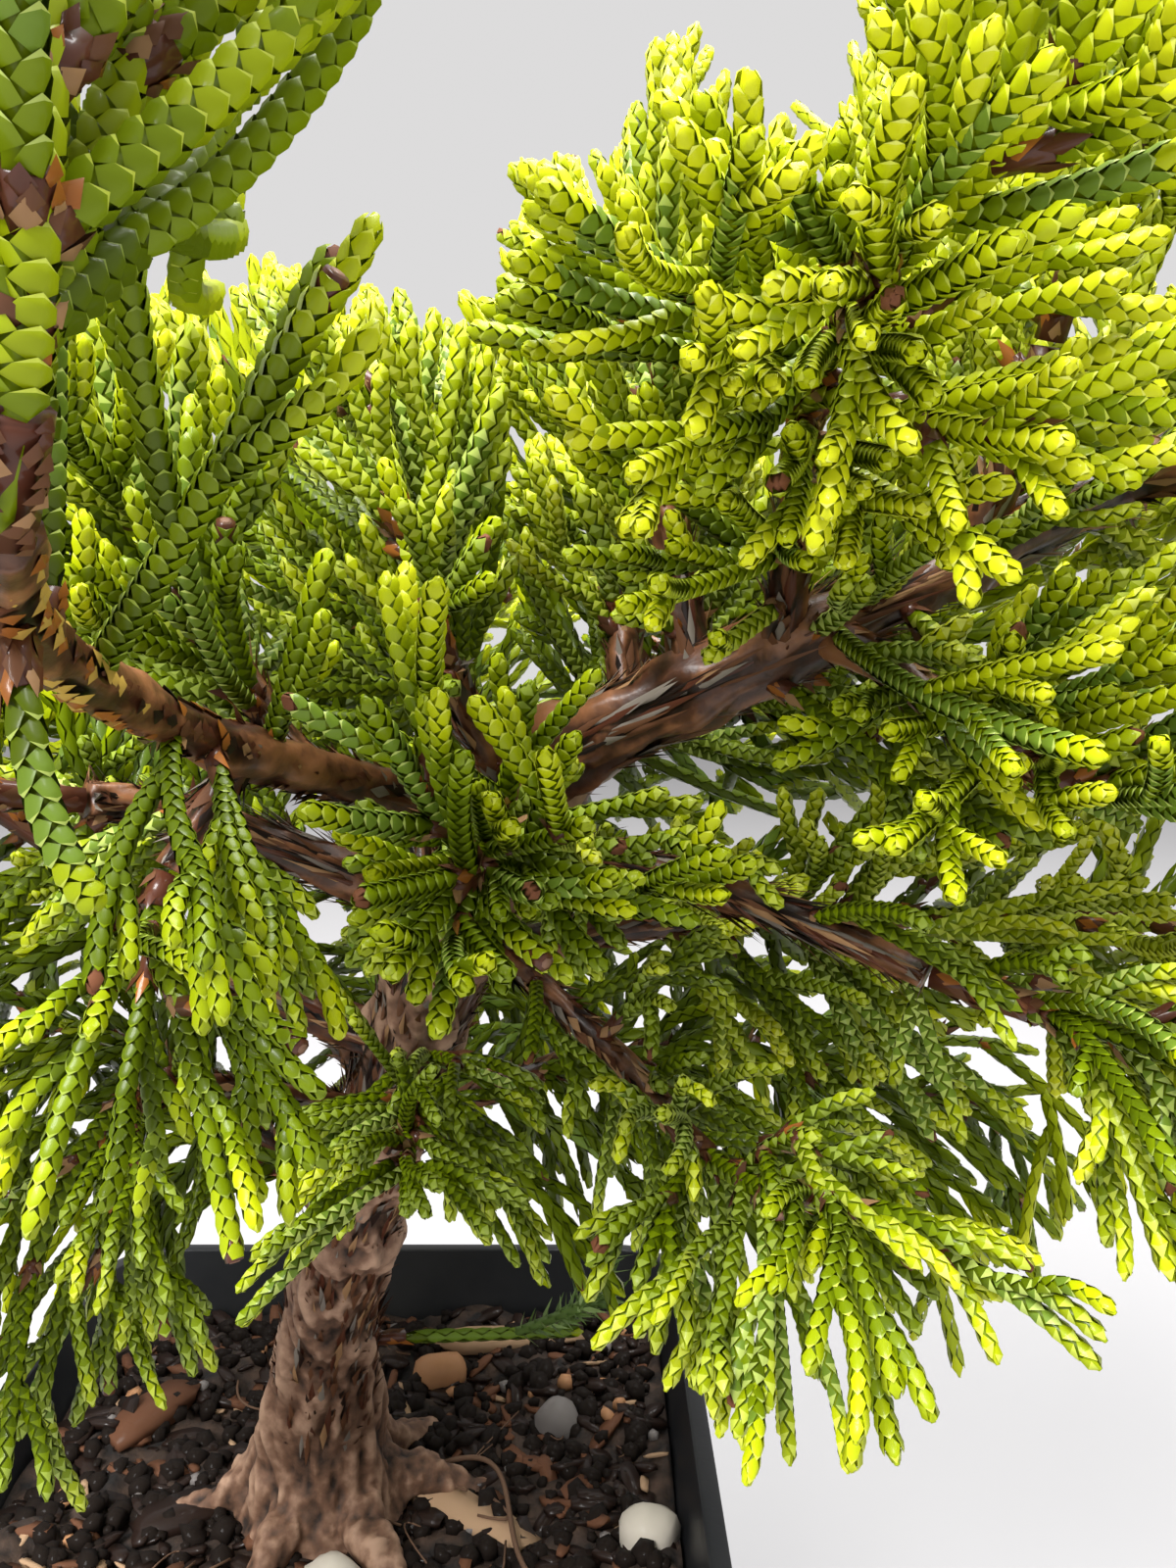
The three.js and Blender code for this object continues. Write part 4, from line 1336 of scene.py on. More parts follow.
@dataclass
class NeedleLeaves:
    """Covers the young cords near the soil with narrow leaves that stand out in whorls of three."""

    pitch: float = 0.85
    length: float = 2.9
    half_width: float = 0.3
    ridge: float = 0.12
    lean: float = 0.85
    first: float = 0.6
    turn_spread: float = 0.2
    length_share: tuple = (0.75, 1.15)
    widest: float = 0.35

    def cover(self, cord: Cord, buffer: MeshBuffer, numbers: SeededNumbers) -> None:
        """Add the needles of a cord."""
        whorls = max(2, int(cord.length / self.pitch))
        for whorl in range(whorls):
            share = (whorl + self.first) / whorls
            foot, outward, beside = (rows[0] for rows in cord.curve.frames(np.array([share])))
            forward = cord.curve.tangents(share)
            for arm in range(3):
                turn = whorl * math.pi / 3 + arm * 2 * math.pi / 3
                turn += numbers.between(-self.turn_spread, self.turn_spread)
                radial = outward * math.cos(turn) + beside * math.sin(turn)
                run = unit(forward * math.cos(self.lean) + radial * math.sin(self.lean))
                length = self.length * numbers.between(*self.length_share)
                self.add_needle(foot, run, radial, length, buffer, whorl)

    def add_needle(self, foot: Array, run: Array, radial: Array, length: float,
                   buffer: MeshBuffer, whorl: int) -> None:
        """Add one needle: a narrow kite with a raised middle."""
        side = unit(np.cross(run, radial))
        up = np.cross(side, run)
        widest = foot + run * length * self.widest
        corners = np.array([
            foot,
            widest - side * self.half_width,
            widest + side * self.half_width,
            widest + up * self.ridge,
            foot + run * length,
        ])
        faces = np.array([(0, 3, 1), (0, 2, 3), (1, 3, 4), (3, 2, 4)])
        slot = LeafSlot.NEEDLE_LIGHT if whorl % 3 == 0 else LeafSlot.NEEDLE
        buffer.add(corners, faces, slot.number)


# Bark flakes and woody twigs


class TwigSlot(FinishSlot):
    """The slots of the bark's flakes and of the woody twigs."""

    DARK = PlainFinish("twig_dark", (0.014, 0.007, 0.005), 0.5, 0.25)
    RED = PlainFinish("twig_red", (0.085, 0.026, 0.013), 0.42, 0.35)
    BROWN = PlainFinish("twig_brown", (0.13, 0.055, 0.026), 0.6, 0.1)
    ORANGE = PlainFinish("twig_orange", (0.3, 0.1, 0.018), 0.42, 0.3)
    SCAR = PlainFinish("twig_scar", (0.52, 0.33, 0.07), 0.42, 0.25)
    GREY = PlainFinish("twig_grey", (0.2, 0.17, 0.14), 0.75, 0)
    TAN = PlainFinish("twig_tan", (0.32, 0.18, 0.085), 0.65, 0.05)
    PINK = PlainFinish("twig_pink", (0.22, 0.12, 0.08), 0.6, 0.1)


DARK, RED, BROWN, ORANGE, SCAR, GREY, TAN, PINK = TwigSlot


@dataclass(frozen=True)
class FlakeStyle:
    """How the flakes of one sort of bark look: lengths in millimetres along and across the limb."""

    step: float
    around: int
    length: tuple[float, float]
    half_width: tuple[float, float]
    lift: tuple[float, float]
    slots: tuple[TwigSlot, ...]
    raised: float = 0.0


OLD_SCARS = FlakeStyle(0.75, 4, (1.2, 1.8), (0.4, 0.55), (0.0, 0.25),
                       (RED, ORANGE, ORANGE, DARK, BROWN), raised=0.04)
LEAF_SCARS = FlakeStyle(0.7, 4, (1.15, 1.5), (0.4, 0.52), (-0.04, 0.03),
                        (ORANGE, SCAR, ORANGE, RED, SCAR), raised=0.05)
HUSKS = FlakeStyle(0.55, 4, (1.6, 3.4), (0.22, 0.42), (0.2, 0.9), (BROWN, TAN, RED, BROWN, GREY, DARK))
TWIG_HUSKS = FlakeStyle(0.7, 2, (1.2, 2.2), (0.3, 0.5), (0.02, 0.35), (BROWN, TAN, RED, ORANGE))
NEAR_HUSKS = FlakeStyle(0.5, 4, (0.8, 1.2), (0.25, 0.36), (-0.03, 0.05),
                        (BROWN, RED, ORANGE, BROWN, TAN), raised=0.03)
STRIPS = FlakeStyle(0.4, 4, (2.5, 8), (0.1, 0.32), (0.1, 1.5),
                    (DARK, RED, BROWN, GREY, DARK, RED, BROWN, TAN))
TRUNK_STRIPS = FlakeStyle(0.45, 7, (2, 6), (0.15, 0.45), (0.1, 1.1),
                          (BROWN, RED, DARK, BROWN, RED, GREY, TAN))


@dataclass
class BarkFlakes:
    """Lays loose flakes along limbs: kites whose foot is sunk in the bark and whose tip lifts."""

    # Share of the flake's length, share of its half width, and height in millimetres
    corners: tuple = ((0, 0, -0.12), (0.45, -1, -0.02), (0.45, 1, -0.02), (0.5, 0, 0.14), (1, 0, 0))
    faces: tuple = ((0, 1, 3), (0, 3, 2), (1, 4, 3), (3, 4, 2))
    row_spread: float = 0.3
    turn_spread: float = 0.45
    # Length in millimetres, share of the cord's radius, and slot
    stubs: tuple = ((0.1, 0.85, RED), (0.16, 0.5, PINK))
    stub_sides: int = 7

    def cover(self, curve: Curve, radius_at: Callable, style: FlakeStyle, buffer: MeshBuffer,
              seed: int, span: tuple[float, float] = (0.0, 1.0)) -> None:
        """Add the flakes of a limb.

        Args:
            curve: the limb's middle line.
            radius_at: its radius at shares of its length.
            style: how the flakes look.
            buffer: where they go.
            seed: the seed of their random draws.
            span: first and last share of the limb that is covered.
        """
        numbers = np.random.default_rng(seed)
        length = curve.length()
        rows = max(1, round(length * (span[1] - span[0]) / style.step))
        row = np.repeat(np.arange(rows), style.around)
        arm = np.tile(np.arange(style.around), rows)
        count = len(row)
        shift = numbers.uniform(-self.row_spread, self.row_spread, count)
        first = span[0] + (span[1] - span[0]) * (row + shift) / rows
        turn = row * math.pi / 2 + arm * 2 * math.pi / style.around
        turn += numbers.uniform(-self.turn_spread, self.turn_spread, count)
        run = numbers.uniform(*style.length, count) / length
        half = numbers.uniform(*style.half_width, count)
        lift = numbers.uniform(*style.lift, count)
        along, sideways, height = (np.array(values, float) for values in zip(*self.corners))
        shares = np.clip(first[:, None] + run[:, None] * along, 0, 1)
        radius = radius_at(shares) + height + style.raised + lift[:, None] * (along == 1)
        angles = turn[:, None] + sideways * half[:, None] / radius
        vertices = curve.around(shares, angles, radius)
        offsets = (np.arange(count) * len(self.corners))[:, None, None]
        faces = (np.array(self.faces)[None] + offsets).reshape(-1, 3)
        values = np.array([slot.number for slot in style.slots])
        slots = np.repeat(numbers.choice(values, count), len(self.faces))
        buffer.add(vertices.reshape(-1, 3), faces, slots)

    def cut_end(self, cord: Cord, buffer: MeshBuffer) -> None:
        """Add the scar at the end of a cut cord: a short brown stub with paler wood within."""
        tip, forward = cord.curve.points(1.0), cord.curve.tangents(1.0)
        for run, thick, slot in self.stubs:
            stub = Curve(tip - forward, tip, tip + forward * run)
            buffer.add(*tube(stub, even(thick * cord.radii[1]), self.stub_sides, 1), slot.number)


@dataclass
class Crown:
    """All foliage: the fine cords of every mass, dressed in scale leaves, and their woody feet."""

    skeleton: Skeleton
    piece_limit: int = 185_000
    # Painted light and shade: greens lighter at the crown's outside and top, darker in its shaded inside.
    middle: tuple = (18, -22, 142)
    reach: tuple = (84, 84, 58)
    tone_steps: tuple = (1.02, 0.76, 0.52, 0.32)
    tone_spread: float = 0.24
    cool_share: float = 0.2
    tip_run: float = 2.6
    dry_run: float = 0.9
    scar_bough: str = "left_front"
    thick_boughs: tuple = ("main", "lower_right", "right_back", "left_outer")
    flake_span: tuple = (0.05, 0.98)
    trunk_flake_span: tuple = (0.12, 0.98)
    scar_spans: tuple = ((HUSKS, (0.05, 0.4)), (OLD_SCARS, (0.35, 0.6)), (LEAF_SCARS, (0.58, 0.98)))
    # Where and how strongly a cord takes painted light, outwards and upwards.
    painted_light_place: float = 0.7
    painted_light_outwards: float = 0.75
    painted_light_upwards: float = 0.3
    reach_place: float = 0.6
    spray_seeds: int = 7919
    wood_seeds: int = 31
    wood_sides: int = 6
    wood_ring_step: float = 2

    def build(self) -> list[Object]:
        """Grow and dress every mass, a few masses to a piece."""
        rule = FineRule(self.skeleton)
        materials = LeafSlot.materials()
        pieces, nodes = [], []
        buffer, twigs = MeshBuffer(), MeshBuffer()
        spray, total = 0, 0.0
        for mass in MASSES:
            cords = rule.grow(mass, spray)
            spray = max(cord.spray for cord in cords) + 1
            own = MeshBuffer()
            for cord in cords:
                total += cord.length
                self.dress(cord, own, twigs)
            log.info("%s: %d cords, %d triangles", mass.name, len(cords), own.triangles)
            if buffer.triangles + own.triangles > self.piece_limit:
                pieces.append(self.finish_leaves(buffer, materials, nodes, len(pieces)))
                buffer, nodes = MeshBuffer(), []
            buffer.add(np.concatenate(own.vertices), np.concatenate(own.faces), np.concatenate(own.slots))
            nodes.append(f"foliage_{mass.name}")
        pieces.append(self.finish_leaves(buffer, materials, nodes, len(pieces)))
        log.info("cords in all: %.0f mm", total)
        return [*pieces, self.finish_twigs(twigs), self.build_flakes()]

    def finish_leaves(self, buffer: MeshBuffer, materials: list, nodes: list, number: int) -> Object:
        """One leaf piece, which stands for the masses whose leaves it holds."""
        piece = buffer.to_object(f"scale_leaves_{number + 1}", materials)
        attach(piece, "root")
        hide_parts(*nodes)
        return piece

    def finish_twigs(self, buffer: MeshBuffer) -> Object:
        """The woody feet of the cords and stems, and the scars of cut ones."""
        piece = buffer.to_object("woody_twigs", TwigSlot.materials())
        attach(piece, "root")
        return piece

    def build_flakes(self) -> Object:
        """The loose bark of the trunk and the boughs."""
        buffer = MeshBuffer()
        flakes = BarkFlakes()
        for seed, (name, limb) in enumerate(self.skeleton.limbs.items()):
            spans = ((STRIPS if name in self.thick_boughs else HUSKS, self.flake_span),)
            if name == "trunk":
                spans = ((TRUNK_STRIPS, self.trunk_flake_span),)
            if name == self.scar_bough:
                spans = self.scar_spans
            for style, span in spans:
                flakes.cover(limb.curve, limb.radius_at, style, buffer, seed, span)
        piece = buffer.to_object("bark_flakes", TwigSlot.materials())
        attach(piece, "root")
        return piece

    def painted_light_at(self, cord: Cord) -> float:
        """The painted light on a cord: about 0 in the crown's shaded inside, 1 at its lit outside and top."""
        offset = (cord.curve.points(self.painted_light_place) - np.array(self.middle)) / np.array(self.reach)
        light = self.painted_light_outwards * np.linalg.norm(offset) + self.painted_light_upwards * offset[2]
        return float(light) + cord.mass.light

    def colouring(self, cord: Cord, numbers: SeededNumbers) -> Colouring:
        """A cord's leaf slots, lighter towards its tip and painted lighter at the crown's outside."""
        # The tone is painted light and shade, with a random spread.
        light = self.painted_light_at(cord) + numbers.between(-self.tone_spread, self.tone_spread)
        tone = sum(light < step for step in self.tone_steps)
        if cord.kind is Kind.BRANCHLET:
            tone = max(tone - 1, 1)
        tone = min(max(tone, 1), 4)
        body, edge = TONES[tone], EDGES[tone]
        if numbers.draw() < self.cool_share and tone > 1:
            body, edge = LeafSlot.COOL, LeafSlot.COOL_EDGE
        if cord.is_dry:
            return Colouring(TONES[tone], body, LeafSlot.DRY, edge, LeafSlot.DRY, self.dry_run)
        return Colouring(TONES[min(tone + 1, 4)], body, TONES[tone - 1], edge, EDGES[tone - 1], self.tip_run)

    def dress(self, cord: Cord, leaves_buffer: MeshBuffer, twigs: MeshBuffer) -> None:
        """Cover one cord in leaves, in the colours of its spray, and its foot in husks."""
        numbers = SeededNumbers(cord.spray * self.spray_seeds + cord.mass.seed)
        colours = self.colouring(cord, numbers)
        twist = numbers.between(0, math.pi)
        leaves = ScaleLeaves()
        if cord.mass.has_needles and cord.kind is not Kind.STEM:
            leaves.core(cord, NEAR_LEAF, leaves_buffer, LeafSlot.NEEDLE, LeafSlot.NEEDLE, twist)
            NeedleLeaves().cover(cord, leaves_buffer, numbers)
            return
        offset = cord.curve.points(self.reach_place) - np.array(self.skeleton.front_point)
        shape = leaves.shape_for(float(np.linalg.norm(offset)))
        leaves.core(cord, shape, leaves_buffer, colours.foot, colours.tip, twist)
        leaves.cover(cord, shape, leaves_buffer, colours, twist)
        if cord.wood > 0:
            self.add_wood(cord, twigs)
        if cord.is_cut:
            BarkFlakes().cut_end(cord, twigs)

    def add_wood(self, cord: Cord, twigs: MeshBuffer) -> None:
        """Add the bare wood at a cord's foot with the husks that still cling to it."""
        last = cord.wood / cord.length
        ending = Curve(*cord.curve.points(np.array([0, last / 2, last])))
        thick = cord.radii[0]
        rings = max(1, round(cord.wood / self.wood_ring_step))
        twigs.add(*tube(ending, even(thick), self.wood_sides, rings), RED.number)
        seed = cord.spray * self.wood_seeds + cord.mass.seed
        style = NEAR_HUSKS if cord.mass.limb == self.scar_bough else TWIG_HUSKS
        BarkFlakes().cover(cord.curve, even(thick), style, twigs, seed, (0.0, last))


# Bark


@dataclass(frozen=True)
class BarkGrain:
    """The bark's grain as one node group, which the trunk's and the boughs' finishes share."""

    # The furrow colour is painted shade and the ridge colour a painted highlight.
    sockets: tuple = ("Furrow shade", "Middle", "Ridge highlight")
    levels: tuple = (0.52, 0.75, 1.0)
    grain_scale: float = 900
    grain_detail: float = 4
    grain_share: float = 0.5
    bump_strength: float = 0.7
    bump_distance: float = 0.00025

    def group(self) -> NodeTree:
        """The group, built on first use: three colours in, the bark's colour and normal out."""
        group = bpy.data.node_groups.get("bark_grain")
        if group is not None:
            return group
        group = bpy.data.node_groups.new("bark_grain", "ShaderNodeTree")
        for name in self.sockets:
            group.interface.new_socket(name=name, in_out="INPUT", socket_type="NodeSocketColor")
        group.interface.new_socket(name="Color", in_out="OUTPUT", socket_type="NodeSocketColor")
        group.interface.new_socket(name="Normal", in_out="OUTPUT", socket_type="NodeSocketVector")
        nodes, links = group.nodes, group.links
        colours, result = nodes.new("NodeGroupInput"), nodes.new("NodeGroupOutput")
        height = self.height(group)
        colour = colours.outputs[self.sockets[0]]
        for name, low, high in zip(self.sockets[1:], self.levels[:-1], self.levels[1:]):
            share = nodes.new("ShaderNodeMapRange")
            share.inputs["From Min"].default_value = low
            share.inputs["From Max"].default_value = high
            links.new(height, share.inputs["Value"])
            mix = nodes.new("ShaderNodeMixRGB")
            links.new(share.outputs["Result"], mix.inputs["Fac"])
            links.new(colour, mix.inputs["Color1"])
            links.new(colours.outputs[name], mix.inputs["Color2"])
            colour = mix.outputs["Color"]
        links.new(colour, result.inputs["Color"])
        links.new(add_bump(group, height, self.bump_strength, self.bump_distance), result.inputs["Normal"])
        return group

    def height(self, group: NodeTree) -> NodeSocket:
        """The mesh's own relief with a fine grain on it."""
        relief = group.nodes.new("ShaderNodeAttribute")
        relief.attribute_name = "relief"
        mixed = group.nodes.new("ShaderNodeMath")
        mixed.operation = "MULTIPLY_ADD"
        group.links.new(add_noise(group, self.grain_scale, self.grain_detail), mixed.inputs[0])
        mixed.inputs[1].default_value = self.grain_share
        group.links.new(relief.outputs["Fac"], mixed.inputs[2])
        return mixed.outputs[0]


@dataclass(frozen=True)
class BarkFinish:
    """Rough bark, darker in its furrows as painted shade, in three colours from furrow to ridge."""

    name: str
    colours: tuple
    roughness: float

    def material(self) -> Material:
        """The finish as a material."""
        material, shader = new_material(self.name)
        links = material.node_tree.links
        grain = material.node_tree.nodes.new("ShaderNodeGroup")
        grain.node_tree = BarkGrain().group()
        for name, colour in zip(BarkGrain.sockets, self.colours):
            grain.inputs[name].default_value = (*colour, 1)
        links.new(grain.outputs["Color"], shader.inputs["Base Color"])
        links.new(grain.outputs["Normal"], shader.inputs["Normal"])
        shader.inputs["Roughness"].default_value = self.roughness
        return material


# Each bark's colours, from furrow to ridge: painted shade, its own colour, and a painted highlight.
TRUNK_BARK = BarkFinish("trunk_bark",
                        ((0.022, 0.011, 0.006), (0.17, 0.085, 0.048), (0.42, 0.26, 0.17)), 0.75)
BOUGH_BARK = BarkFinish("bough_bark",
                        ((0.007, 0.003, 0.0015), (0.065, 0.021, 0.008), (0.27, 0.11, 0.045)), 0.4)


@dataclass(frozen=True)
class ReliefLayer:
    """Bumps of one size: how many to a millimetre each way, and their shares of height and push."""

    scale: tuple[float, float, float]
    shift: float
    seed: int
    height: float
    push: float


@dataclass(frozen=True)
class Relief:
    """Layers of bumps, from large to small, that roughen a skin."""

    layers: tuple[ReliefLayer, ...]

    def measure(self, places: Array, seed: int = 0) -> tuple[Array, Array]:
        """The relief at places of a skin.

        Args:
            places: rows of points.
            seed: another seed gives another skin.

        Returns:
            The height that colours each place, and how far it is pushed out or in.
        """
        height, push = 0, 0
        for layer in self.layers:
            bumps = lattice_noise(places * np.array(layer.scale) + seed * layer.shift, layer.seed + seed)
            height = height + layer.height * bumps
            push = push + layer.push * (bumps - 0.5)
        return height, push


TRUNK_RELIEF = Relief((
    ReliefLayer((0.22, 0.22, 0.22), 0, 1, 0.2, 1.7),
    ReliefLayer((0.9, 0.9, 0.2), 0, 2, 0.5, 1.3),
    ReliefLayer((1.7, 1.7, 0.7), 0, 3, 0.3, 0.6),
))
BOUGH_RELIEF = Relief((
    ReliefLayer((1.5, 1.5, 0.28), 17.3, 0, 0.55, 0.75),
    ReliefLayer((0.3, 0.3, 0.3), 5.1, 50, 0.2, 0.4),
    ReliefLayer((2.2, 2.2, 0.8), 3.7, 90, 0.25, 0.3),
))


def read_rows(mesh: Mesh, name: str) -> Array:
    """A vector of every corner of a mesh, such as its place or its normal, as rows."""
    rows = np.empty(len(mesh.vertices) * 3, np.float32)
    mesh.vertices.foreach_get(name, rows)
    return rows.reshape(-1, 3).astype(float)


def write_places(mesh: Mesh, places: Array) -> None:
    """Move every corner of a mesh to its place in millimetres."""
    mesh.vertices.foreach_set("co", (places * MM).astype(np.float32).ravel())
    mesh.update()


def write_relief(mesh: Mesh, height: Array) -> None:
    """Keep the relief's height in the mesh, where the bark finish reads it for painted shade."""
    relief = mesh.attributes.new("relief", "FLOAT", "POINT")
    relief.data.foreach_set("value", height.astype(np.float32))


def activate(piece: Object) -> None:
    """Leave one object selected and active."""
    bpy.ops.object.select_all(action="DESELECT")
    bpy.context.view_layer.objects.active = piece
    piece.select_set(True)


@dataclass
class WoodyParts:
    """The trunk with its root ridges, and the boughs, all with the bark's relief."""

    skeleton: Skeleton
    trunk: Trunk = field(default_factory=Trunk)
    trunk_sides: int = 40
    trunk_rings: int = 60
    ridge_sides: int = 16
    ridge_rings: int = 14
    ridge_turn_spread: float = 0.5
    knee_reach: float = 0.45
    knee_height: float = 0.25
    trunk_voxel: float = 0.42
    foot_push: float = 0.3
    foot_run: float = 3
    bough_sides: int = 20
    bough_rings: int = 6
    bough_ring_step: float = 0.55
    bough_push: float = 0.75
    fork_run: float = 1.7
    fork_swelling: float = 0.2

    def build(self) -> list[Object]:
        """Build the trunk and the boughs."""
        return [self.build_trunk(), self.build_boughs()]

    def ridge_curves(self) -> list[Curve]:
        """The root ridges' middle lines, with the same draws as the solids'."""
        trunk = self.trunk
        numbers = SeededNumbers(trunk.root_seed)
        foot = np.array(trunk.foot, float)
        curves = []
        for ridge in range(trunk.root_ridges):
            turn = ridge + self.ridge_turn_spread * (numbers.draw() - 0.5)
            heading = turn * 2 * math.pi / trunk.root_ridges
            reach = trunk.root_reach + trunk.root_reach_spread * (numbers.draw() - 0.5)
            outwards = np.array([math.cos(heading), math.sin(heading), 0])
            start = foot + UP * trunk.root_start_height
            knee = foot + outwards * reach * self.knee_reach + UP * trunk.root_start_height * self.knee_height
            end = foot + outwards * reach - UP * trunk.root_end_depth
            curves.append(Curve(start, knee, end))
        return curves

    def build_trunk(self) -> Object:
        """The trunk and its ridges merged into one skin, then roughened into bark."""
        buffer = MeshBuffer()
        curve = self.skeleton.limbs["trunk"].curve
        thick, thin = self.trunk.root_thickness, self.trunk.root_end_thickness
        sections = (self.trunk_sides, self.trunk_rings)
        buffer.add(*tube(curve, lambda shares, _angles: self.trunk.radius(shares), *sections), 0)
        for curve in self.ridge_curves():
            sections = (self.ridge_sides, self.ridge_rings)
            buffer.add(*tube(curve, lambda shares, _angles: thick + (thin - thick) * shares, *sections), 0)
        piece = buffer.to_object("trunk_bark", [])
        remesh = piece.modifiers.new("skin", "REMESH")
        remesh.mode = "VOXEL"
        remesh.voxel_size = self.trunk_voxel * MM
        activate(piece)
        bpy.ops.object.modifier_apply(modifier=remesh.name)
        self.roughen_trunk(piece)
        piece.data.materials.clear()
        piece.data.materials.append(TRUNK_BARK.material())
        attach(piece, "root")
        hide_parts("trunk")
        return piece

    def roughen_trunk(self, piece: Object) -> None:
        """Push the trunk's skin in and out into lumps, upright furrows and flakes."""
        foot = self.trunk.foot[2]
        places = read_rows(piece.data, "co") / MM
        normals = read_rows(piece.data, "normal")
        height, push = TRUNK_RELIEF.measure(places)
        level = np.clip((places[:, 2] - foot) / self.foot_run, 0, 1)
        push = push * (self.foot_push + (1 - self.foot_push) * level)
        places += normals * push[:, None]
        places[:, 2] = np.maximum(places[:, 2], foot)
        write_places(piece.data, places)
        write_relief(piece.data, height)
        piece.data.shade_smooth()

    def build_boughs(self) -> Object:
        """All boughs as tapering limbs with furrows along them."""
        buffer = MeshBuffer()
        heights: list = []
        for seed, bough in enumerate(BOUGHS):
            curve = self.skeleton.limbs[bough.name].curve
            rings = max(self.bough_rings, round(curve.length() / self.bough_ring_step))
            buffer.add(*tube(curve, self.rough_radius(bough, seed, heights), self.bough_sides, rings), 0)
        piece = buffer.to_object("bough_bark", [BOUGH_BARK.material()])
        write_relief(piece.data, np.concatenate(heights))
        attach(piece, "root")
        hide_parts(*(f"bough_{bough.name}" for bough in BOUGHS))
        return piece

    def rough_radius(self, bough: Bough, seed: int, heights: list) -> Callable:
        """The radius of a bough with its furrows, its lumps and the swellings at its forks.

        Args:
            bough: the bough.
            seed: the seed of its relief.
            heights: where the relief's heights go, in the order of the tube's corners.

        Returns:
            A function of arrays of shares and angles.
        """
        limb = self.skeleton.limbs[bough.name]
        length = limb.curve.length()
        forks = np.array([other.at for other in BOUGHS if other.parent == bough.name])

        def radius(shares: Array, angles: Array) -> Array:
            """The rough radius, whose relief is kept on the way."""
            plain = limb.radius_at(shares)
            places = np.stack([np.cos(angles) * plain, np.sin(angles) * plain, shares * length], axis=-1)
            height, push = BOUGH_RELIEF.measure(places.reshape(-1, 3), seed)
            heights.append(np.concatenate([height, [0.5, 0.5]]))
            away = (shares[..., None] - forks) * length / self.fork_run
            swelling = self.fork_swelling * np.exp(-away * away).sum(axis=-1)
            return plain * (1 + swelling + push.reshape(plain.shape) * self.bough_push)

        return radius


# The pot and its soil


@dataclass(frozen=True)
class PotFinish:
    """Thin black moulded plastic, a little shiny, with a fine texture and faint clouds of dust."""

    cloud_scale: float = 45
    cloud_detail: float = 5
    colours: tuple = ((0.4, (0.008, 0.009, 0.011)), (0.8, (0.035, 0.034, 0.033)))
    roughness: tuple = (0.3, 0.6)
    specular: float = 0.3
    fine_scale: float = 1500
    fine_detail: float = 2
    bump_strength: float = 0.12
    bump_distance: float = 0.0001

    def material(self) -> Material:
        """The finish as a material."""
        material, shader = new_material("pot_plastic")
        tree = material.node_tree
        cloud = add_noise(tree, self.cloud_scale, self.cloud_detail)
        tree.links.new(add_ramp(tree, cloud, self.colours), shader.inputs["Base Color"])
        rough = tree.nodes.new("ShaderNodeMapRange")
        rough.inputs["To Min"].default_value, rough.inputs["To Max"].default_value = self.roughness
        tree.links.new(cloud, rough.inputs["Value"])
        tree.links.new(rough.outputs["Result"], shader.inputs["Roughness"])
        shader.inputs["Specular IOR Level"].default_value = self.specular
        fine = add_noise(tree, self.fine_scale, self.fine_detail)
        normal = add_bump(tree, fine, self.bump_strength, self.bump_distance)
        tree.links.new(normal, shader.inputs["Normal"])
        return material


def select_where(piece: Object, kind: str, test: Callable) -> None:
    """Select the faces, edges or vertices that pass a test, and no others.

    Args:
        piece: the object, in edit mode.
        kind: "faces", "edges" or "verts".
        test: takes one element of the edit mesh.
    """
    bpy.ops.mesh.select_mode(type={"faces": "FACE", "edges": "EDGE", "verts": "VERT"}[kind])
    bpy.ops.mesh.select_all(action="DESELECT")
    shape = bmesh.from_edit_mesh(piece.data)
    for element in getattr(shape, kind):
        if test(element):
            element.select_set(True)
    shape.select_flush_mode()
    bmesh.update_edit_mesh(piece.data)


def height_of(face: bmesh.types.BMFace) -> float:
    """The mean height of a face's corners, in millimetres."""
    return sum(corner.co.z for corner in face.verts) / len(face.verts) / MM


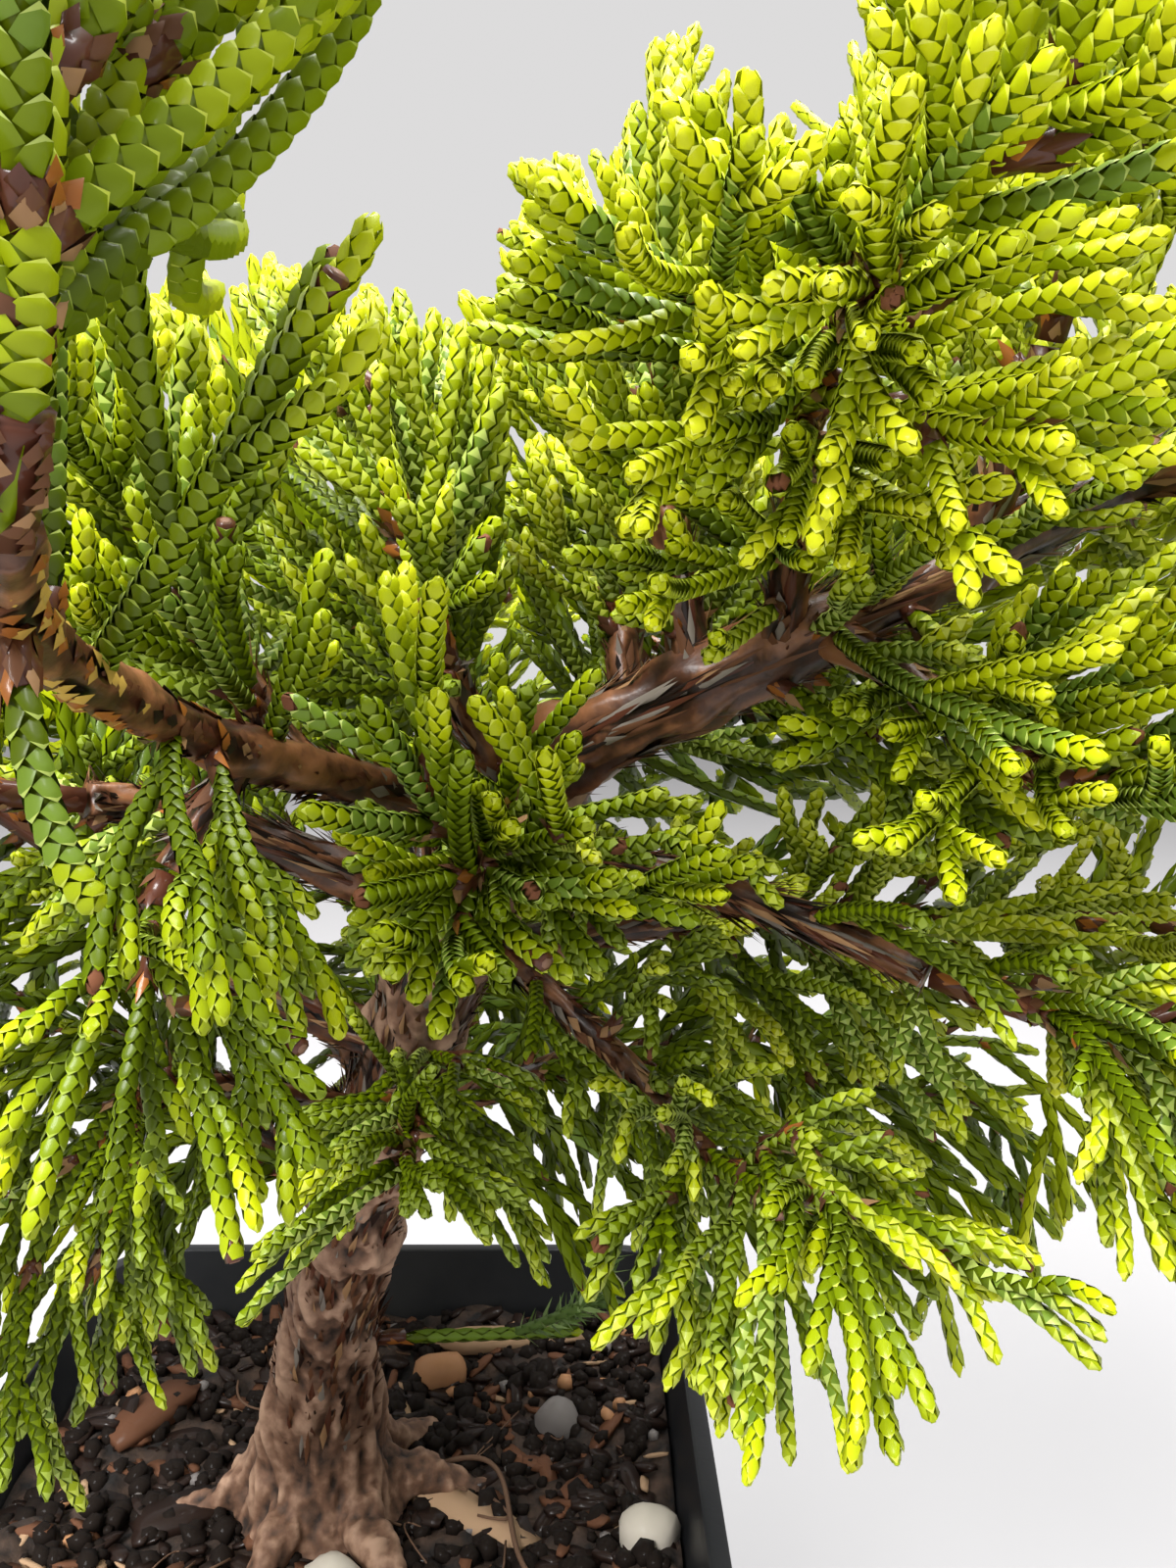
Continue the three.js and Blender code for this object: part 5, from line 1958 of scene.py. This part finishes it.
@dataclass
class NurseryPot:
    """The square pot with its rounded corners, lip and drain holes."""

    corner_segments: int = 9
    edge_rounding: float = 0.35
    edge_segments: int = 2
    sharp_edge: float = math.radians(35)
    smooth_edge: float = math.radians(40)
    level_normal: float = 0.9
    upright_normal: float = 0.5
    upright_edge: float = 50
    top_margin: float = 0.01
    drain_sides: int = 32
    drain_depth: float = 6

    def build(self) -> Object:
        """Model the pot from a block."""
        piece = self.make_block()
        self.taper(piece)
        self.round_corners(piece)
        self.raise_lip(piece)
        self.hollow_out(piece)
        bpy.ops.object.mode_set(mode="OBJECT")
        self.cut_drain_holes(piece)
        self.soften_edges(piece)
        piece.data.materials.append(PotFinish().material())
        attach(piece, "root")
        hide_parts("pot")
        return piece

    def make_block(self) -> Object:
        """A block of the foot's width and the pot's height."""
        bpy.ops.object.select_all(action="DESELECT")
        size = POT.foot_width * MM
        bpy.ops.mesh.primitive_cube_add(size=1, location=(0, 0, POT.height * MM / 2),
                                        scale=(size, size, POT.height * MM))
        piece = bpy.context.object
        piece.name = "nursery_pot"
        bpy.ops.object.transform_apply(location=True, rotation=False, scale=True)
        bpy.ops.object.mode_set(mode="EDIT")
        return piece

    def taper(self, piece: Object) -> None:
        """Widen the block to the top."""
        widening = 2 * POT.half_width(POT.height) / POT.foot_width
        select_where(piece, "faces", lambda face: face.normal.z > self.level_normal)
        bpy.ops.transform.resize(value=(widening, widening, 1), center_override=(0, 0, POT.height * MM))

    def round_corners(self, piece: Object) -> None:
        """Round the four upright corners."""
        select_where(piece, "edges", lambda edge: abs(edge.verts[0].co.z - edge.verts[1].co.z)
                     > self.upright_edge * MM)
        bpy.ops.mesh.bevel(offset=POT.corner_radius * MM, segments=self.corner_segments, profile=0.5)

    def raise_lip(self, piece: Object) -> None:
        """Part the wall under the lip and let the lip stand proud."""
        foot = (POT.height - POT.lip_height) * MM
        bpy.ops.mesh.select_all(action="SELECT")
        bpy.ops.mesh.bisect(plane_co=(0, 0, foot), plane_no=(0, 0, 1))
        select_where(piece, "faces", lambda face: abs(face.normal.z) < self.upright_normal
                     and face.calc_center_median().z > foot)
        bpy.ops.mesh.extrude_region_shrink_fatten(
            TRANSFORM_OT_shrink_fatten={"value": POT.lip_proud * MM})

    def hollow_out(self, piece: Object) -> None:
        """Open the top and sink the inside down to the floor."""
        select_where(piece, "faces", lambda face: face.normal.z > self.level_normal
                     and height_of(face) > POT.height - self.top_margin)
        bpy.ops.mesh.dissolve_faces(use_verts=True)
        bpy.ops.mesh.inset(thickness=POT.wall * MM, use_even_offset=True)
        floor_width = POT.half_width(POT.wall) - POT.wall
        narrowing = floor_width / (POT.width / 2 - POT.wall)
        depth = (POT.height - POT.wall) * MM
        bpy.ops.mesh.extrude_region_move(TRANSFORM_OT_translate={"value": (0, 0, -depth)})
        bpy.ops.transform.resize(value=(narrowing, narrowing, 1), center_override=(0, 0, POT.wall * MM))

    def cut_drain_holes(self, piece: Object) -> None:
        """Cut one round hole through the floor near each corner."""
        for x in (-POT.drain_hole_offset, POT.drain_hole_offset):
            for y in (-POT.drain_hole_offset, POT.drain_hole_offset):
                bpy.ops.object.select_all(action="DESELECT")
                bpy.ops.mesh.primitive_cylinder_add(
                    vertices=self.drain_sides, radius=POT.drain_hole_radius * MM,
                    depth=self.drain_depth * MM, location=(x * MM, y * MM, 0))
                cutter = bpy.context.object
                cut = piece.modifiers.new("drain", "BOOLEAN")
                cut.operation = "DIFFERENCE"
                cut.object = cutter
                activate(piece)
                bpy.ops.object.modifier_apply(modifier=cut.name)
                bpy.data.objects.remove(cutter)

    def soften_edges(self, piece: Object) -> None:
        """Round every sharp edge a little and shade the walls smoothly."""
        activate(piece)
        bevel = piece.modifiers.new("edges", "BEVEL")
        bevel.width = self.edge_rounding * MM
        bevel.segments = self.edge_segments
        bevel.limit_method = "ANGLE"
        bevel.angle_limit = self.sharp_edge
        bpy.ops.object.modifier_apply(modifier=bevel.name)
        bpy.ops.object.shade_smooth_by_angle(angle=self.smooth_edge)


@dataclass(frozen=True)
class SoilFinish:
    """Damp dark potting soil, from nearly black to brown."""

    crumb_scale: float = 420
    crumb_detail: float = 6
    colours: tuple = ((0.35, (0.006, 0.004, 0.003)), (0.75, (0.075, 0.042, 0.026)))
    roughness: float = 0.85
    bump_strength: float = 0.9
    bump_distance: float = 0.0006

    def material(self) -> Material:
        """The finish as a material."""
        material, shader = new_material("potting_soil")
        tree = material.node_tree
        crumbs = add_noise(tree, self.crumb_scale, self.crumb_detail)
        tree.links.new(add_ramp(tree, crumbs, self.colours), shader.inputs["Base Color"])
        normal = add_bump(tree, crumbs, self.bump_strength, self.bump_distance)
        tree.links.new(normal, shader.inputs["Normal"])
        shader.inputs["Roughness"].default_value = self.roughness
        return material


class Grain(FinishSlot):
    """The slots of the loose grains on the soil."""

    CRUMB = PlainFinish("soil_crumb", (0.01, 0.006, 0.004), 0.85, 0.05)
    DARK_CHIP = PlainFinish("dark_chip", (0.018, 0.009, 0.006), 0.6, 0.2)
    BROWN_CHIP = PlainFinish("brown_chip", (0.13, 0.055, 0.028), 0.75, 0.05)
    PALE_CHIP = PlainFinish("pale_chip", (0.42, 0.27, 0.16), 0.8, 0)
    GREY_STONE = PlainFinish("grey_stone", (0.19, 0.17, 0.16), 0.6, 0.1)
    PALE_STONE = PlainFinish("pale_stone", (0.62, 0.56, 0.47), 0.6, 0.1)
    ORANGE_STONE = PlainFinish("orange_stone", (0.42, 0.21, 0.1), 0.65, 0.1)
    ROOT_FIBRE = PlainFinish("root_fibre", (0.14, 0.08, 0.05), 0.8, 0)


@dataclass(frozen=True)
class GrainSort:
    """One sort of small grain: its share of them all, its range of sizes and its proportions."""

    slot: Grain
    share: float
    sizes: tuple[float, float]
    shape: tuple[float, float, float]


GRAIN_SORTS = (
    GrainSort(Grain.CRUMB, 0.52, (0.5, 1.6), (1, 0.9, 0.8)),
    GrainSort(Grain.DARK_CHIP, 0.26, (0.8, 2.4), (1, 0.45, 0.25)),
    GrainSort(Grain.BROWN_CHIP, 0.13, (0.7, 2.6), (1, 0.35, 0.2)),
    GrainSort(Grain.PALE_CHIP, 0.04, (0.6, 1.8), (1, 0.3, 0.2)),
    GrainSort(Grain.GREY_STONE, 0.03, (0.5, 1.1), (1, 0.85, 0.8)),
    GrainSort(Grain.ORANGE_STONE, 0.02, (0.5, 1.2), (1, 0.9, 0.8)),
)
CHIPS = (Grain.DARK_CHIP, Grain.BROWN_CHIP, Grain.PALE_CHIP)


@dataclass(frozen=True)
class Lump:
    """One large chip or stone that lies on the soil."""

    slot: Grain
    at: tuple[float, float]
    size: tuple[float, float, float]
    turn: float = 0.0


LUMPS = (
    Lump(Grain.PALE_CHIP, (12.6, -2), (17, 4.2, 1.8), -0.62),
    Lump(Grain.PALE_CHIP, (15.5, 27), (17.5, 4.5, 2), 0.04),
    Lump(Grain.DARK_CHIP, (-16, -2.5), (9, 5, 2), 0.5),
    Lump(Grain.BROWN_CHIP, (-24, 12), (12, 5, 2.2), 1.1),
    Lump(Grain.BROWN_CHIP, (-12, -24), (13, 5, 2), -0.3),
    Lump(Grain.DARK_CHIP, (20, -25), (11, 6, 2.4), 0.8),
    Lump(Grain.DARK_CHIP, (-6, 26), (10, 4, 2), -0.7),
    Lump(Grain.PALE_STONE, (1.4, -12.5), (6, 5, 5)),
    Lump(Grain.PALE_STONE, (31.2, -7.5), (6, 6, 6)),
    Lump(Grain.GREY_STONE, (22.2, 11.2), (5, 5, 5)),
    Lump(Grain.ORANGE_STONE, (7.3, 21), (7, 5, 5)),
    Lump(Grain.GREY_STONE, (-28, -20), (6, 5, 5)),
)


SOIL_RELIEF = Relief((
    ReliefLayer((0.32, 0.32, 0.32), 0, 8, 0, 1.5),
    ReliefLayer((0.9, 0.9, 0.9), 0, 9, 0, 0.9),
))


@dataclass
class PottingSoil:
    """The soil in the pot, with its crumbs, chips, stones and fibres."""

    grid_steps: int = 150
    grain_count: int = 2000
    grain_tilt: float = 0.4
    grain_rise: float = 0.3
    edge_margin: float = 1.5
    lump_rise: float = 0.15
    lump_smoothness: int = 3
    lift_run: float = 6
    top_depth: float = 1
    top_sinking: float = 0.2
    rim_share: float = 0.995
    loop_fibre: tuple = ((10, 4, 0), (22, 9, 0.8), (13, -20, 0.8), (27, -13, 0))
    loop_radius: float = 0.28
    loop_sections: tuple = (5, 30)
    fibre_count: int = 46
    fibre_margin: float = 4
    fibre_height: float = 1.2
    fibre_bend: float = 7
    fibre_rise: tuple = (-0.8, 0.6)
    fibre_radius: tuple = (0.08, 0.2)
    fibre_sections: tuple = (4, 8)
    seed: int = 4

    def build(self) -> list[Object]:
        """Build the soil's body and its loose grains."""
        return [self.build_body(), self.build_grains()]

    def lift(self, x: Array, y: Array) -> Array:
        """How far the soil rises at a place, in the solids' own waves, and not near the trunk's foot."""
        share = np.clip((np.hypot(x, y) - POT.soil_flat_radius) / self.lift_run, 0, 1)
        clear = share * share * (3 - 2 * share)
        lumps = 0.5 + 0.3 * np.sin(0.31 * x + 1.3) * np.cos(0.27 * y) + 0.2 * np.sin(0.47 * (x - y))
        return POT.soil_lump_height * clear * lumps

    def inside(self, height: float) -> float:
        """Half the soil's width at a height."""
        return POT.half_width(height) - POT.wall - POT.gap

    def build_body(self) -> Object:
        """The soil's body: a lumpy top on a block that fills the pot."""
        bpy.ops.object.select_all(action="DESELECT")
        width = 2 * self.inside(POT.soil_level)
        bpy.ops.mesh.primitive_grid_add(x_subdivisions=self.grid_steps, y_subdivisions=self.grid_steps,
                                        size=width * MM, location=(0, 0, POT.soil_level * MM))
        piece = bpy.context.object
        piece.name = "potting_soil"
        bpy.ops.object.transform_apply(location=True, rotation=False, scale=False)
        bpy.ops.object.mode_set(mode="EDIT")
        select_where(piece, "edges", lambda edge: edge.is_boundary)
        floor = POT.wall + POT.gap
        narrowing = self.inside(floor) / self.inside(POT.soil_level)
        bpy.ops.mesh.extrude_region_move(
            TRANSFORM_OT_translate={"value": (0, 0, -(POT.soil_level - floor) * MM)})
        bpy.ops.transform.resize(value=(narrowing, narrowing, 1), center_override=(0, 0, floor * MM))
        bpy.ops.mesh.edge_face_add()
        bpy.ops.mesh.select_all(action="SELECT")
        bpy.ops.mesh.normals_make_consistent(inside=False)
        bpy.ops.object.mode_set(mode="OBJECT")
        self.shape_body(piece)
        piece.data.shade_smooth()
        piece.data.materials.append(SoilFinish().material())
        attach(piece, "root")
        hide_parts("soil")
        return piece

    def shape_body(self, piece: Object) -> None:
        """Round the block's corners and lift its top into lumps and crumbs."""
        places = read_rows(piece.data, "co") / MM
        self.round_corners(places)
        top = places[:, 2] > POT.soil_level - self.top_depth
        x, y = places[top, 0], places[top, 1]
        crumbs = SOIL_RELIEF.measure(np.stack([x, y, np.zeros_like(x)], axis=1))[1]
        near_edge = np.maximum(abs(x), abs(y)) / self.inside(POT.soil_level)
        places[top, 2] += self.lift(x, y) + crumbs * (near_edge < self.rim_share) - self.top_sinking
        write_places(piece.data, places)

    def round_corners(self, places: Array) -> None:
        """Draw the square's corners in to the pot's rounding."""
        edge = self.inside(POT.soil_level)
        half = np.where(places[:, 2] > POT.soil_level - self.top_depth, edge, self.inside(POT.wall + POT.gap))
        radius = POT.corner_radius
        straight = half - radius
        over = np.maximum(np.abs(places[:, :2]) - straight[:, None], 0)
        reach = np.linalg.norm(over, axis=1)
        square = over.max(axis=1)
        shrink = np.where(reach > TINY, square / np.maximum(reach, TINY), 1)
        sign = np.sign(places[:, :2])
        corner = (over > 0).all(axis=1)
        drawn = (straight[:, None] + over * shrink[:, None]) * sign
        places[:, :2] = np.where(corner[:, None], drawn, places[:, :2])

    def build_grains(self) -> Object:
        """All loose grains on the soil as one piece."""
        buffer = MeshBuffer()
        numbers = np.random.default_rng(self.seed)
        for lump in LUMPS:
            self.add_lump(buffer, lump, numbers)
        edge = self.inside(POT.soil_level) - self.edge_margin
        for _ in range(self.grain_count):
            x, y = numbers.uniform(-edge, edge, 2)
            self.add_grain(buffer, x, y, numbers)
        self.add_fibres(buffer, numbers)
        piece = buffer.to_object("soil_grains", Grain.materials())
        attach(piece, "root")
        return piece

    def add_lump(self, buffer: MeshBuffer, lump: Lump, numbers: Generator) -> None:
        """One large chip or stone in a place of its own."""
        x, y = lump.at
        z = POT.soil_level + float(self.lift(np.array(x), np.array(y))) + lump.size[2] * self.lump_rise
        is_chip = lump.slot in CHIPS
        vertices, faces = split_chip(numbers) if is_chip else pebble(numbers, self.lump_smoothness)
        vertices = vertices * np.array(lump.size) / 2
        buffer.add(turned(vertices, lump.turn) + np.array([x, y, z]), faces, lump.slot.number)

    def add_grain(self, buffer: MeshBuffer, x: float, y: float, numbers: Generator) -> None:
        """One small crumb, chip or stone."""
        z = POT.soil_level + float(self.lift(np.array(x), np.array(y)))
        pick = numbers.random()
        for sort in GRAIN_SORTS:
            if pick < sort.share:
                break
            pick -= sort.share
        size = numbers.uniform(*sort.sizes) * np.array(sort.shape)
        vertices, faces = split_chip(numbers) if sort.slot in CHIPS else pebble(numbers, 0)
        vertices = tilted(vertices * size, numbers.uniform(-self.grain_tilt, self.grain_tilt, 2))
        place = np.array([x, y, z + size[2] * self.grain_rise])
        buffer.add(turned(vertices, numbers.uniform(0, math.pi)) + place, faces, sort.slot.number)

    def add_fibres(self, buffer: MeshBuffer, numbers: Generator) -> None:
        """Thin root fibres that lie over the soil, one of them in a wide loop."""
        z = POT.soil_level + self.fibre_height
        loop = Curve(*(np.array(place) + UP * z for place in self.loop_fibre))
        buffer.add(*tube(loop, even(self.loop_radius), *self.loop_sections), Grain.ROOT_FIBRE.number)
        edge = self.inside(POT.soil_level) - self.fibre_margin
        for _ in range(self.fibre_count):
            start = np.append(numbers.uniform(-edge, edge, 2), z)
            sideways = numbers.uniform(-self.fibre_bend, self.fibre_bend, (2, 2))
            bends = start + np.column_stack([sideways, numbers.uniform(*self.fibre_rise, 2)])
            bends[:, :2] = np.clip(bends[:, :2], -edge, edge)
            thick = numbers.uniform(*self.fibre_radius)
            fibre = tube(Curve(start, *bends), even(thick), *self.fibre_sections)
            buffer.add(*fibre, Grain.ROOT_FIBRE.number)


PEBBLE_RADIUS = (0.75, 0.5)
PEBBLE_BUMPS = 1.3
PEBBLE_ROOM = 50
CHIP_CORNERS = ((-1, -0.8), (1, -0.8), (1, 0.8), (-1, 0.8))
CHIP_SECTIONS = ((-1.0, 0.62), (-0.55, 0.95), (0.1, 1.0), (0.6, 0.9), (1.0, 0.5))
CHIP_WIDTHS = (0.8, 1.1)
CHIP_SLANT = 0.12
CHIP_END = 1.02


def turned(vertices: Array, angle: float) -> Array:
    """The vertices turned round the upright axis."""
    cos, sin = math.cos(angle), math.sin(angle)
    return vertices @ np.array([[cos, sin, 0], [-sin, cos, 0], [0, 0, 1]])


def tilted(vertices: Array, angles: Array) -> Array:
    """The vertices tilted a little about both level axes."""
    leaning = vertices.copy()
    leaning[:, 2] += vertices[:, 0] * math.tan(angles[0]) + vertices[:, 1] * math.tan(angles[1])
    return leaning


def pebble(numbers: Generator, smoothness: int) -> tuple[Array, Array]:
    """A rounded uneven stone of radius about 1.

    Args:
        numbers: random draws.
        smoothness: 1 for a coarse small one, 3 for a large one.

    Returns:
        Vertices and triangles.
    """
    sides, rings = 5 + 2 * smoothness, 2 + 2 * smoothness
    rises = np.linspace(-math.pi / 2, math.pi / 2, rings + 2)[1:-1]
    angles = np.linspace(0, 2 * math.pi, sides, endpoint=False)
    rise, angle = np.meshgrid(rises, angles, indexing="ij")
    ball = np.stack([np.cos(rise) * np.cos(angle), np.cos(rise) * np.sin(angle), np.sin(rise)], axis=-1)
    vertices = np.concatenate([ball.reshape(-1, 3), [[0, 0, -1], [0, 0, 1]]])
    least, more = PEBBLE_RADIUS
    uneven = least + more * lattice_noise(vertices * PEBBLE_BUMPS + numbers.uniform(0, PEBBLE_ROOM, 3))
    return vertices * uneven[:, None], ring_faces(sides, rings)


def split_chip(numbers: Generator) -> tuple[Array, Array]:
    """A split chip of bark or wood, about 1 in each half size, with ragged ends.

    Args:
        numbers: random draws.

    Returns:
        Vertices and triangles.
    """
    corners = np.array(CHIP_CORNERS, float)
    rows = []
    for station, width in CHIP_SECTIONS:
        ragged = corners * width * numbers.uniform(*CHIP_WIDTHS, corners.shape)
        stations = station + numbers.uniform(-CHIP_SLANT, CHIP_SLANT, len(corners))
        rows.append(np.column_stack([stations, ragged]))
    vertices = np.concatenate([*rows, [[-CHIP_END, 0, 0], [CHIP_END, 0, 0]]])
    return vertices, ring_faces(len(corners), len(rows))


# The camera and the studio


@dataclass(frozen=True)
class Eye:
    """The camera at the photograph's viewing angle, in among the crown's front sprays."""

    place: tuple = (0.0255, -0.116, 0.151)
    tilt: float = math.radians(85)
    sensor_width: float = 36
    focal_length: float = 27.07
    nearest: float = 0.001

    def build(self) -> None:
        """Put the camera in the scene."""
        data = bpy.data.cameras.new("eye")
        data.sensor_width = self.sensor_width
        data.lens = self.focal_length
        data.clip_start = self.nearest
        data.dof.use_dof = False
        camera = bpy.data.objects.new("eye", data)
        camera.location = self.place
        camera.rotation_euler = (self.tilt, 0, 0)
        bpy.context.scene.collection.objects.link(camera)
        bpy.context.scene.camera = camera


@dataclass(frozen=True)
class SoftLight:
    """A square soft light."""

    name: str
    place: tuple[float, float, float]
    size: float
    energy: float

    def build(self, target: tuple) -> None:
        """Put the light in the scene and turn it to a target."""
        data = bpy.data.lights.new(self.name, "AREA")
        data.size = self.size
        data.energy = self.energy
        light = bpy.data.objects.new(self.name, data)
        light.location = self.place
        direction = np.array(target) - np.array(self.place)
        light.rotation_euler = Vector(direction).to_track_quat("-Z", "Y").to_euler()
        bpy.context.scene.collection.objects.link(light)


@dataclass(frozen=True)
class Studio:
    """A plain pale floor, pale surroundings and two large soft lights."""

    surroundings: tuple = (0.95, 0.94, 0.94)
    strength: float = 0.76
    floor_size: float = 6
    floor_colour: tuple = (0.36, 0.355, 0.36)
    floor_roughness: float = 0.8
    target: tuple = (0.02, -0.03, 0.14)
    lights: tuple = (
        SoftLight("key", (-0.35, -0.75, 0.95), 0.5, 30),
        SoftLight("top", (0.25, 0.05, 1.1), 0.6, 20),
    )

    def build(self) -> None:
        """Put the surroundings, the floor and the lights in the scene."""
        world = bpy.data.worlds.new("surroundings")
        world.use_nodes = True
        background = world.node_tree.nodes["Background"]
        background.inputs["Color"].default_value = (*self.surroundings, 1)
        background.inputs["Strength"].default_value = self.strength
        bpy.context.scene.world = world
        self.build_floor()
        for light in self.lights:
            light.build(self.target)
        bpy.context.scene.view_settings.view_transform = "Standard"

    def build_floor(self) -> None:
        """Lay the floor, which is scenery and not part of the plant."""
        bpy.ops.object.select_all(action="DESELECT")
        bpy.ops.mesh.primitive_plane_add(size=self.floor_size)
        floor = bpy.context.object
        floor.name = "floor"
        material, shader = new_material("floor")
        shader.inputs["Base Color"].default_value = (*self.floor_colour, 1)
        shader.inputs["Roughness"].default_value = self.floor_roughness
        floor.data.materials.append(material)


def main() -> None:
    """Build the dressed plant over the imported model."""
    logging.basicConfig(level=logging.INFO, format="%(message)s")
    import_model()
    Eye().build()
    Studio().build()
    skeleton = Skeleton()
    pieces = [NurseryPot().build(), *PottingSoil().build(), *WoodyParts(skeleton).build()]
    pieces += Crown(skeleton).build()
    for piece in pieces:
        log.info("%s: %d faces", piece.name, len(piece.data.polygons))


if __name__ == "__main__":
    main()
